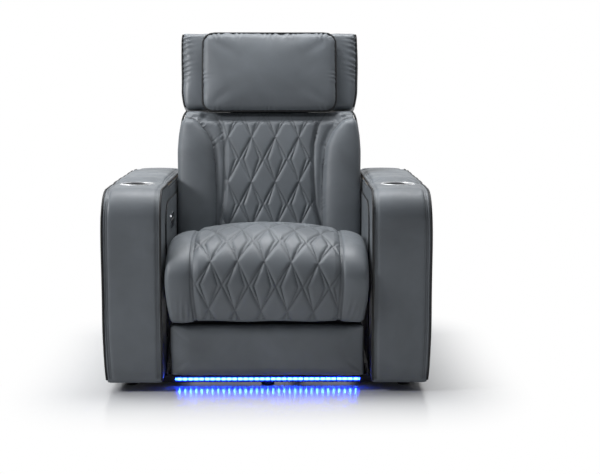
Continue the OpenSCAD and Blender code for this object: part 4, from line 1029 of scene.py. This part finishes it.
def build_headrest():
    build_wings()
    a, b = PILLOW_HALF, PILLOW_TALL
    obj = pad(
        "headrest_pillow_cover", a, b, PILLOW_R, -0.1145, -0.0895, 52, 34, 0.006, 3.2, 4, bulge=0.002, rim=0.012
    )
    u, w, front = cover_fields(obj)
    swell(obj, front < 0.9, pressure=1.2, cap=0.008)
    smooth(obj, 5)
    subdivide(obj, 2)
    u, w, front = cover_fields(obj)
    across = ripple(u, b - abs(w), 0.024, 0.0016, 0.012, 0.3) * (0.5 + (w > 0))
    height = front * (across + ripple(w, a - abs(u), 0.020, 0.0011, 0.010, 1.3))
    height += front * 0.0012 * np.sin(u * 21 + 0.8) * np.sin(w * 26 + 0.5)
    tufted(obj, height, front * 0)
    x, y, z = coords(obj).T
    set_coords(obj, leaned(x, np.minimum(y, -0.0885), z + PILLOW_MID))
    finish_piece(obj, "headrest", "leather", "leather", "headrest_pillow", fill=0.9)
    px, pz = round_corners(*rectangle_ring(160, a, b), a, b, PILLOW_R)
    ring = leaned(px * 1.003, np.full_like(px, -0.1010), pz * 1.005 + PILLOW_MID)
    finish_piping("pillow_piping", "headrest", cord_mesh("pillow_piping", ring, sizes().piping_r, True))


# Arms

ARM_R = 0.090
ARM_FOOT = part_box("arm_frame_right")[0].z - 0.001
ARM_EDGE_IN = 0.010
ARM_EDGE_OUT = 0.012
ARM_CORE = 0.084
NOSE_START = 19
TOP_START = NOSE_START + 13
TOP_END = TOP_START + 36
REAR_END = TOP_START + 60
LID_Y = (FRONT + 0.270, FRONT + 0.800)
BED_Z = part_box("storage_bin_right")[1].z - 0.003
BIN_WALL = 0.0078
CUP_Y = (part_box("cup_holder_right")[0].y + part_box("cup_holder_right")[1].y) / 2
PANEL_Y = (FRONT + 0.150, REAR - 0.050)
PANEL_LOW = 0.052
PANEL_TOP = 0.540
PANEL_R = 0.085
PANEL_SPRING = PANEL_TOP - PANEL_R


def arm_outline(d):
    """Outline of the arm's side, inset by d: up the front, over the nose, along the top, down the rear and back."""
    top, front, rear, low = ARM_TOP - d, FRONT + d, REAR - d, ARM_FOOT + d
    r, c, corner = max(ARM_R - d, 0.004), max(0.012 - d, 0.003), max(0.008 - d, 0.002)
    ny, nz = front + r, top - r
    a, b = np.radians(np.linspace(0, 90, 13)), np.radians([30, 60, 90])
    pts = [(front, z) for z in np.linspace(low + corner, nz, NOSE_START + 1)[:-1]]
    pts += list(zip(ny - r * np.cos(a), nz + r * np.sin(a)))
    pts += [(y, top) for y in np.linspace(ny, rear - c, 36)[1:]]
    pts += list(zip(rear - c + c * np.sin(b), top - c + c * np.cos(b)))
    pts += [(rear, z) for z in np.linspace(top - c, low + corner, 22)[1:]]
    pts += [(rear - 0.3 * corner, low + 0.3 * corner)]
    pts += [(y, low) for y in np.linspace(rear - corner, front + corner, 30)]
    pts += [(front + 0.3 * corner, low + 0.3 * corner)]
    return np.array(pts)


def arm_rings():
    """Stations across the arm as (x, inset, side), where side is -1 inside, 0 on the padded strip and 1 outside."""
    rows = [(ARM_IN + 0.0015 * (1 - d / 0.09), min(d, ARM_CORE), -1) for d in (0.09, 0.055, 0.035)]
    for deg in (90, 66, 44, 22):
        s, c = math.sin(math.radians(deg)), math.cos(math.radians(deg))
        rows.append((ARM_IN + ARM_EDGE_IN * (1 - s), ARM_EDGE_IN * (1 - c), -1 if deg > 50 else 0))
    flat = ARM_OUT - ARM_IN - ARM_EDGE_IN - ARM_EDGE_OUT
    for t in np.linspace(0, 1, 15):
        rows.append((ARM_IN + ARM_EDGE_IN + flat * t, -0.0038 * math.sin(math.pi * t) ** 0.6, 0))
    for deg in (18, 36, 54, 72, 90):
        s, c = math.sin(math.radians(deg)), math.cos(math.radians(deg))
        rows.append((ARM_OUT - ARM_EDGE_OUT * (1 - s), ARM_EDGE_OUT * (1 - c), 0 if deg < 50 else 1))
    return rows + [(ARM_OUT - 0.0012 * (1 - min(1, d / 0.06)), d, 1) for d in (0.035, 0.055, ARM_CORE)]


def arch_inset(y, z):
    """How far a place on the inner side lies inside the arch of the inner panel; negative outside it."""
    (y0, y1), r = PANEL_Y, PANEL_R
    edge = np.minimum(np.minimum(y - y0, y1 - y), PANEL_TOP - z)
    cy = np.where(y < (y0 + y1) / 2, y0 + r, y1 - r)
    in_corner = (z > PANEL_SPRING) & ((y < y0 + r) | (y > y1 - r))
    return np.where(in_corner, r - np.hypot(y - cy, z - PANEL_SPRING), edge)


def arm_blank():
    """The arm's cover before its seams are sewn, closed on both sides."""
    rows = arm_rings()
    m, n = len(arm_outline(0)), len(rows)
    verts, u, side = [], [], []
    for x, d, kind in rows:
        outline = arm_outline(max(d, 0))
        outline[:, 1] += max(-d, 0) * share(outline[:, 1], ARM_TOP - ARM_R, ARM_TOP)
        verts += [(x, y, z) for y, z in outline]
        u += [x] * m
        side += [kind] * m
    faces = ring_faces([np.arange(m) + i * m for i in range(n)])
    for first in (0, (n - 1) * m):
        verts.append(tuple(np.mean(verts[first : first + m], 0)))
        u.append(u[first])
        side.append(side[first])
        faces += [(len(verts) - 1, first + j, first + (j + 1) % m) for j in range(m)]
    obj = new_object("arm_cover_right_leather", verts, faces, u=u, side=side)
    outward(obj)
    subdivide(obj, 2)
    return obj


def build_arm_cover():
    obj = arm_blank()
    co, normal = coords(obj), normals(obj)
    x, y, z = co.T
    u, side = get_field(obj, "u"), get_field(obj, "side")
    inner, outer = abs(u - (ARM_IN + 0.0110)), abs(u - (ARM_OUT - 0.0140))
    on_strip = np.clip(1 - abs(side) * 1.6, 0, 1) * (z > ARM_LOW + 0.006)
    double = np.minimum(twin_lines(inner, 0.003), twin_lines(outer, 0.003))
    height = on_strip * (crease(double, 0.0016, 0.0013) + crease(np.minimum(inner, outer), 0.008, 0.0022))
    wave = 0.0010 * np.sin(y * 13 + 0.7) * np.sin(z * 17) + 0.0007 * np.sin(y * 41 + z * 9)
    height += wave * (z > ARM_LOW + 0.02)
    height = np.where(abs(normal[:, 0]) > 0.7, height * 0.6, height)
    moved = co + normal * height[:, None]
    up = share(z, ARM_LOW, ARM_TOP)
    taper = 0.010 * np.clip(1 - up / 0.35, 0, 1) ** 1.5 + 0.006 * np.clip((up - 0.70) / 0.30, 0, 1) ** 1.6
    moved[:, 0] -= taper * share(x, ARM_MID, ARM_OUT)
    on_inner, arch = side < -0.5, arch_inset(y, z)
    moved[:, 0] += on_inner * 0.0012 * hump(abs(arch - 0.004), 0.006)
    set_coords(obj, moved)
    # Painted shade along the twin stitch lines of the padded strip and round the arch of the inner panel.
    seam = on_strip * hump(double, 0.0014) + 0.5 * on_inner * hump(abs(arch - 0.006), 0.002)
    set_field(obj, "seam", np.clip(seam, 0, 1))
    cut_box(obj, (ARM_IN - 0.02, LID_Y[0], BED_Z), (ARM_OUT + 0.02, LID_Y[1], ARM_TOP + 0.05))
    low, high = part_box("storage_bin_right")
    cut_box(
        obj,
        (low.x + BIN_WALL, low.y + BIN_WALL, low.z - 0.0004),
        (high.x - BIN_WALL, high.y - BIN_WALL, BED_Z + 0.01),
    )
    cut_drum(obj, 0.0467, ARM_MID, CUP_Y, ARM_TOP - 0.075, ARM_TOP + 0.03)
    cut_drum(obj, 0.0536, ARM_MID, CUP_Y, ARM_TOP + 0.0006, ARM_TOP + 0.03)
    return obj


def cut_for_controls(obj, inset):
    """Cuts the opening of the control panel, smaller than its bezel by inset on each side."""
    low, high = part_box("control_bezel")
    cut_box(obj, (low.x - 0.001, low.y + inset, low.z + inset), (high.x + 0.02, high.y - inset, high.z - inset))


def build_arms():
    right = build_arm_cover()
    left = mirrored(right, "arm_cover_left_leather")
    cut_for_controls(left, 0.003)
    sides = (("right", 1, right), ("left", -1, left))
    for side, _, obj in sides:
        finish_piece(obj, "base", "leather", "leather", "arm_cover_" + side)
    line = arm_outline(-0.002)
    front = [p for p in line[:TOP_END] if p[0] < LID_Y[0] - 0.002]
    rear = [p for p in line[TOP_START:REAR_END] if p[0] > LID_Y[1] + 0.003 and p[1] > ARM_LOW + 0.01]
    for side, k, obj in sides:
        parts = []
        for x in (ARM_IN - 0.002, ARM_OUT + 0.002):
            for bit in (front, rear):
                parts.append(piping_on("arm_piping", obj, [(k * x, y, z) for y, z in bit], lift=0.35))
        finish_piping("arm_piping_" + side, "base", *parts)


def arch_line():
    """Outline of the inner panel: up the front, over the arch, down the rear and back along its foot."""
    (y0, y1), r, low, spring = PANEL_Y, PANEL_R, PANEL_LOW, PANEL_SPRING
    a = np.radians(np.linspace(0, 90, 11))
    arch = [(y0, low + (spring - low) * t) for t in np.linspace(0, 1, 20)[:-1]]
    arch += [(y0 + r - r * math.cos(q), spring + r * math.sin(q)) for q in a]
    arch += [(y, PANEL_TOP) for y in np.linspace(y0 + r, y1 - r, 34)[1:-1]]
    arch += [(y1 - r + r * math.sin(q), spring + r * math.cos(q)) for q in a]
    arch += [(y1, spring - (spring - low) * t) for t in np.linspace(0, 1, 20)[1:]]
    arch += [(y, low) for y in np.linspace(y1, y0, 36)[1:-1]]
    return np.array(arch)


def build_inner_panels():
    """Arch-topped leather panels on the inner sides of the arms, piped round the arch."""
    arch = arch_line()
    m = len(arch)
    middle = np.array([sum(PANEL_Y) / 2, (PANEL_LOW + PANEL_SPRING) / 2 + 0.02])
    size = np.linalg.norm(arch - middle, axis=1)[:, None]
    face, thick = ARM_IN - 0.004, 0.0038
    rows = ((0, thick), (0, 0.0012), (0.004, 0.0006), (0.012, 0.0004), (0.03, 0), (0.07, 0), (0.12, 0))
    for side, k in (("right", 1), ("left", -1)):
        verts = []
        for inset, back in rows:
            ring = middle + (arch - middle) * (1 - inset / size)
            verts += [(k * (face + back), y, z) for y, z in ring]
        last = len(verts) - m
        faces = ring_faces([np.arange(m) + i * m for i in range(len(rows))])
        verts += [(k * face, *middle), (k * (face + thick), *middle)]
        faces += [(last + (j + 1) % m, last + j, len(verts) - 2) for j in range(m)]
        faces += [(j, (j + 1) % m, len(verts) - 1) for j in range(m)]
        obj = new_object("inner_panel_" + side, verts, faces, seam=np.zeros(len(verts)))
        outward(obj)
        subdivide(obj, 2)
        x, y, z = coords(obj).T
        wave = 0.0006 * np.sin(y * 15 + k) * np.sin(z * 19 + 1) + 0.0004 * np.sin(y * 37 - z * 23)
        x = x - k * np.where(abs(x) < face + 0.002, np.clip(wave, -0.0006, 0.0006), 0)
        set_coords(obj, np.stack([x, y, z], -1))
        if side == "left":
            cut_for_controls(obj, 0.006)
        finish_piece(obj, "base", "leather_panel", "leather_panel", "arm_inner_panel_" + side)
        line = [(k * (face + 0.0022), y, z) for y, z in arch[4:89]]
        finish_piping("panel_piping_" + side, "base", cord_mesh("panel_piping_" + side, line, 0.0018))


# Lids

LID_Z = 0.5895
LID_HIGHEST = 0.6075
LID_SEAM = 0.012


def build_lids():
    low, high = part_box("lid_pad_right")
    a, b = (high.x - low.x) / 2 - 0.0005, (high.y - low.y) / 2 - 0.0005
    mx, my = (high.x + low.x) / 2, (high.y + low.y) / 2
    x, y, m = rounded_grid(36, 84, a, b, 0.005)
    crown = 0.0125 * np.sqrt(np.clip(1 - (x / a) ** 2, 0, 1)) * np.clip((b - abs(y)) / 0.040, 0, 1) ** 0.55
    top = grid(x + mx, y + my, LID_Z + crown - edge_round((1 - m) * min(a, b), 0.006) * 0.5)
    board_low, board_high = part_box("lid_board_right")
    half_x, half_y = (board_high.x - board_low.x) / 2 + 0.0013, (board_high.y - board_low.y) / 2 + 0.0013
    under_x = x * half_x / a + (board_low.x + board_high.x) / 2
    under = grid(under_x, y * half_y / b + my, board_low.z - 0.0004)
    obj = slab("lid_pad_right_leather", top, under, x, y)
    u, w, face = filled(obj, get_field(obj, "top") < 0.98, cap=0.0035)
    seam_d = np.minimum(abs(a - abs(u) - LID_SEAM), abs(b - abs(w) - LID_SEAM))
    double = twin_lines(seam_d, 0.003)
    wave = 0.0009 * np.sin(w * 23 + 0.4) * np.sin(u * 31 + 1) + 0.0006 * np.sin(w * 57)
    height = face * (crease(double, 0.0016, 0.0011) + crease(seam_d, 0.007, 0.0014) + wave)
    # Painted shade along the twin stitch lines round the lid.
    tufted(obj, height, face * hump(double, 0.0013))
    set_coords(obj, np.minimum(coords(obj), (1, 1, LID_HIGHEST)))
    left = mirrored(obj, "lid_pad_left_leather")
    ring = list(zip(*rectangle_ring(240, a - 0.001, b - 0.001)))
    for side, k, piece in (("right", 1, obj), ("left", -1, left)):
        finish_piece(piece, "lid_" + side, "leather", "leather", "lid_pad_" + side, fill=0.9)
        line = [(k * (mx + px), my + py, LID_Z + 0.0017) for px, py in ring]
        finish_piping("lid_piping_" + side, "lid_" + side, piping_on("lid_piping_" + side, piece, line, True, 0.1))


# Footrest


def build_footrest():
    low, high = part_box("footrest_pad")
    a, b = (high.x - low.x) / 2 + 0.001, (high.z - low.z) / 2 - 0.001
    mid, rear, deep = (high.z + low.z) / 2, high.y, low.y + 0.008 - high.y
    obj = pad("footrest_pad_cover", a, b, 0.006, deep, 0.0, 84, 26, 0.005, 5.0, 4, bulge=0.0008, rim=0.005)
    u, w, face = filled(obj, get_field(obj, "top") < 0.95, cap=0.004)
    wave = 0.0011 * np.sin(u * 17 + 0.5) * np.sin(w * 31 + 0.8) + 0.0006 * np.sin(u * 43 + w * 20)
    height = face * (wave + ripple(u, b - abs(w), 0.034, 0.0007, 0.010, 0.9))
    tufted(obj, height, face * 0)
    x, y, z = coords(obj).T
    set_coords(obj, np.stack([x, np.clip(y + rear, low.y - 0.003, rear), z + mid], -1))
    finish_piece(obj, "footrest", "leather", "leather", "footrest_pad", fill=0.85)
    zs = np.linspace(mid - b + 0.006, mid + b - 0.006, 30)
    lines = [[(k * (a + 0.001), low.y + 0.016, z) for z in zs] for k in (-1, 1)]
    cords = [piping_on("footrest_piping", obj, line, lift=-0.3) for line in lines]
    finish_piping("footrest_piping", "footrest", *cords)


# Finishes of the CAD nodes that keep their own mesh

NODE_FINISH = {
    "carcass_wood": "arm_frame_left arm_frame_right lid_board_left lid_board_right seat_frame footrest_board",
    "black_steel": "base_beams led_rail",
    "black_plastic": "floor_glides led_end_clips power_box recline_actuator storage_bin_left storage_bin_right"
    " touch_tab_left touch_tab_right button_recline button_upright button_home button_head_forward"
    " button_head_back footrest_motor headrest_motor",
    "zinc_steel": "base_channels lid_hinge_left lid_hinge_right lid_leaf_left lid_leaf_right usb_port"
    " carriage_plates carriage_tubes actuator_rod front_links rear_links knuckle_plates drive_rods"
    " footrest_brackets back_brackets",
    "cup": "cup_holder_left cup_holder_right",
    "stainless": "control_bezel",
    "white_plastic": "slide_blocks",
    "webbing": "seat_webbing back_frame headrest_frame",
    "blue_light": "led_strip",
}


def dress_nodes():
    for key, names in NODE_FINISH.items():
        mat = finish(key)
        for name in names.split():
            obj = NODES[name]
            if not obj.material_slots:
                obj.data.materials.append(mat)
            for place in obj.material_slots:
                place.material = mat


# Studio

CAMERA_LENS = 79.14
CAMERA_PLACE = (0.0598, -4.2088, 0.9384)
CAMERA_TURN = (90 - 7.23, 0, -0.548)
SEAT_FOOTPRINT = (0.46, 0.40, 0)
SKY = (0.85, 0.92, 1.0)
# Name, place, aim, size, power and colour of each lamp
LAMPS = (
    ("overhead_lamp", (-0.15, 0.22, 3.0), (-0.1, 0.0, 0.0), (2.6, 1.3), 98, (0.97, 0.985, 1.0)),
    ("left_lamp", (-2.6, -1.15, 2.0), (0, 0, 0.65), (0.7, 0.7), 56, (0.97, 0.98, 1.0)),
    ("right_lamp", (3.1, -1.3, 1.8), (0, 0, 0.6), (1.6, 1.8), 4, (1.0, 0.99, 0.98)),
)


def soft_lamp(name, place, aim, size, power, colour):
    lamp = bpy.data.lights.new(name, "AREA")
    lamp.shape, lamp.size, lamp.size_y = "RECTANGLE", size[0], size[1]
    lamp.energy, lamp.color = power, colour
    obj = bpy.data.objects.new(name, lamp)
    obj.location = place
    obj.rotation_euler = (Vector(aim) - Vector(place)).to_track_quat("-Z", "Y").to_euler()
    bpy.context.scene.collection.objects.link(obj)


def mix_shaders(tree, factor, first, second):
    return node_of(tree, "ShaderNodeMixShader", {0: factor, 1: first, 2: second}).outputs["Shader"]


def build_camera():
    scene = bpy.context.scene
    cam = bpy.data.cameras.new("Camera")
    cam.lens, cam.sensor_width, cam.sensor_fit = CAMERA_LENS, 36.0, "HORIZONTAL"
    eye = bpy.data.objects.new("Camera", cam)
    eye.location = CAMERA_PLACE
    eye.rotation_euler = [math.radians(a) for a in CAMERA_TURN]
    scene.collection.objects.link(eye)
    scene.camera = eye
    scene.view_settings.view_transform = "Standard"


def build_floor():
    """A polished floor, lit near the seat, where it holds the shadow, and plain white to the eye away from it."""
    clear_selection()
    bpy.ops.mesh.primitive_plane_add(size=1)
    floor = bpy.context.object
    floor.name = floor.data.name = "floor"
    floor.scale = (14, 14, 1)
    bpy.ops.object.transform_apply(location=True, rotation=True, scale=True)
    mat, tree, shader = material("Polished white floor", (0.62, 0.625, 0.635), 0.2)
    gloss = remap(tree, noise(tree, 2.0, 2), 0.3, 0.7, 0.19, 0.23)
    feed(tree, shader, {"Roughness": gloss, "Specular IOR Level": 0.40})
    away, zero = object_place(tree), (0, 0, 0)
    steps = (("ABSOLUTE", zero), ("SUBTRACT", SEAT_FOOTPRINT), ("MAXIMUM", zero), ("MULTIPLY", (1.5, 1, 0)))
    for operation, other in steps:
        away = node_of(tree, "ShaderNodeVectorMath", {0: away, 1: other}, operation=operation).outputs["Vector"]
    far = node_of(tree, "ShaderNodeVectorMath", {0: away}, operation="LENGTH").outputs["Value"]
    ends = {"Value": far, "From Min": -0.02, "From Max": 0.50}
    edge = node_of(tree, "ShaderNodeMapRange", ends, interpolation_type="SMOOTHSTEP").outputs["Result"]
    ray = node_of(tree, "ShaderNodeLightPath").outputs
    mirrored_or_through = math_node(tree, "MAXIMUM", ray["Is Glossy Ray"], ray["Is Transmission Ray"])
    seen = math_node(tree, "MAXIMUM", ray["Is Camera Ray"], mirrored_or_through)
    factor = math_node(tree, "MULTIPLY", edge, seen)
    white = node_of(tree, "ShaderNodeEmission")
    mixed = mix_shaders(tree, factor, shader.outputs["BSDF"], white.outputs["Emission"])
    feed(tree, tree.nodes["Material Output"], {"Surface": mixed})
    floor.data.materials.append(mat)


def build_world():
    """A dim sky that shows as plain white to the eye, and in reflections of what stands behind the seat."""
    world = bpy.data.worlds.new("Studio")
    bpy.context.scene.world = world
    world.use_nodes = True
    tree = world.node_tree
    sky = tree.nodes["Background"]
    feed(tree, sky, {"Color": (*SKY, 1), "Strength": 0.075})
    bright = node_of(tree, "ShaderNodeBackground", {"Color": (1, 1, 1, 1)})
    ray = node_of(tree, "ShaderNodeLightPath").outputs
    place = split_place(tree, node_of(tree, "ShaderNodeTexCoord").outputs["Generated"])
    behind = math_node(tree, "MULTIPLY", remap(tree, place["Y"], -0.4, 0.3), ray["Is Glossy Ray"])
    direct = math_node(tree, "MAXIMUM", ray["Is Camera Ray"], ray["Is Transmission Ray"])
    shown = math_node(tree, "MAXIMUM", behind, direct)
    mixed = mix_shaders(tree, shown, sky.outputs[0], bright.outputs[0])
    feed(tree, tree.nodes["World Output"], {"Surface": mixed})


def build_stage():
    build_camera()
    build_floor()
    build_world()
    for lamp in LAMPS:
        soft_lamp(*lamp)


class RECLINER_OT_studio(bpy.types.Operator):
    """Adds the camera, the floor and the lamps"""

    bl_idname = "recliner.studio"
    bl_label = "Studio"

    def execute(self, context):
        build_stage()
        return {"FINISHED"}


class RECLINER_OT_finishes(bpy.types.Operator):
    """Gives the rigid parts their finishes"""

    bl_idname = "recliner.finishes"
    bl_label = "Frame finishes"

    def execute(self, context):
        dress_nodes()
        return {"FINISHED"}


class RECLINER_OT_seat(bpy.types.Operator):
    """Makes the quilted waterfall seat cushion"""

    bl_idname = "recliner.seat"
    bl_label = "Seat cushion"

    def execute(self, context):
        build_seat()
        return {"FINISHED"}


class RECLINER_OT_back(bpy.types.Operator):
    """Makes the quilted back cushion with its bolsters"""

    bl_idname = "recliner.back"
    bl_label = "Back cushion"

    def execute(self, context):
        build_back()
        return {"FINISHED"}


class RECLINER_OT_shell(bpy.types.Operator):
    """Makes the leather outside back and its skirt"""

    bl_idname = "recliner.shell"
    bl_label = "Outside back"

    def execute(self, context):
        build_shell()
        return {"FINISHED"}


class RECLINER_OT_headrest(bpy.types.Operator):
    """Makes the winged headrest and its pillow"""

    bl_idname = "recliner.headrest"
    bl_label = "Headrest"

    def execute(self, context):
        build_headrest()
        return {"FINISHED"}


class RECLINER_OT_arms(bpy.types.Operator):
    """Makes the padded arm covers"""

    bl_idname = "recliner.arms"
    bl_label = "Arms"

    def execute(self, context):
        build_arms()
        return {"FINISHED"}


class RECLINER_OT_panels(bpy.types.Operator):
    """Makes the arch-topped panels on the arms"""

    bl_idname = "recliner.panels"
    bl_label = "Inner panels"

    def execute(self, context):
        build_inner_panels()
        return {"FINISHED"}


class RECLINER_OT_lids(bpy.types.Operator):
    """Makes the padded lids of the storage bins"""

    bl_idname = "recliner.lids"
    bl_label = "Lids"

    def execute(self, context):
        build_lids()
        return {"FINISHED"}


class RECLINER_OT_footrest(bpy.types.Operator):
    """Makes the footrest pad"""

    bl_idname = "recliner.footrest"
    bl_label = "Footrest"

    def execute(self, context):
        build_footrest()
        return {"FINISHED"}


OPERATORS = (
    RECLINER_OT_studio,
    RECLINER_OT_finishes,
    RECLINER_OT_seat,
    RECLINER_OT_back,
    RECLINER_OT_shell,
    RECLINER_OT_headrest,
    RECLINER_OT_arms,
    RECLINER_OT_panels,
    RECLINER_OT_lids,
    RECLINER_OT_footrest,
)


class RECLINER_PT_panel(bpy.types.Panel):
    """Lists the steps that make the recliner's upholstery"""

    bl_idname = "RECLINER_PT_panel"
    bl_label = "Cinema recliner"
    bl_space_type = "VIEW_3D"
    bl_region_type = "UI"
    bl_category = "Recliner"

    def draw(self, context):
        for name in SeatSizes.__annotations__:
            self.layout.prop(context.scene.seat_sizes, name)
        for name in SeatColours.__annotations__:
            self.layout.prop(context.scene.seat_colours, name)
        for op in OPERATORS:
            self.layout.operator(op.bl_idname)


CLASSES = (SeatSizes, SeatColours, *OPERATORS, RECLINER_PT_panel)


def register():
    for c in CLASSES:
        bpy.utils.register_class(c)
    bpy.types.Scene.seat_sizes = bpy.props.PointerProperty(type=SeatSizes)
    bpy.types.Scene.seat_colours = bpy.props.PointerProperty(type=SeatColours)


def unregister():
    del bpy.types.Scene.seat_colours
    del bpy.types.Scene.seat_sizes
    for c in reversed(CLASSES):
        bpy.utils.unregister_class(c)


def main():
    register()
    for op in OPERATORS:
        getattr(bpy.ops.recliner, op.bl_idname.split(".")[1])()


if __name__ == "__main__":
    main()
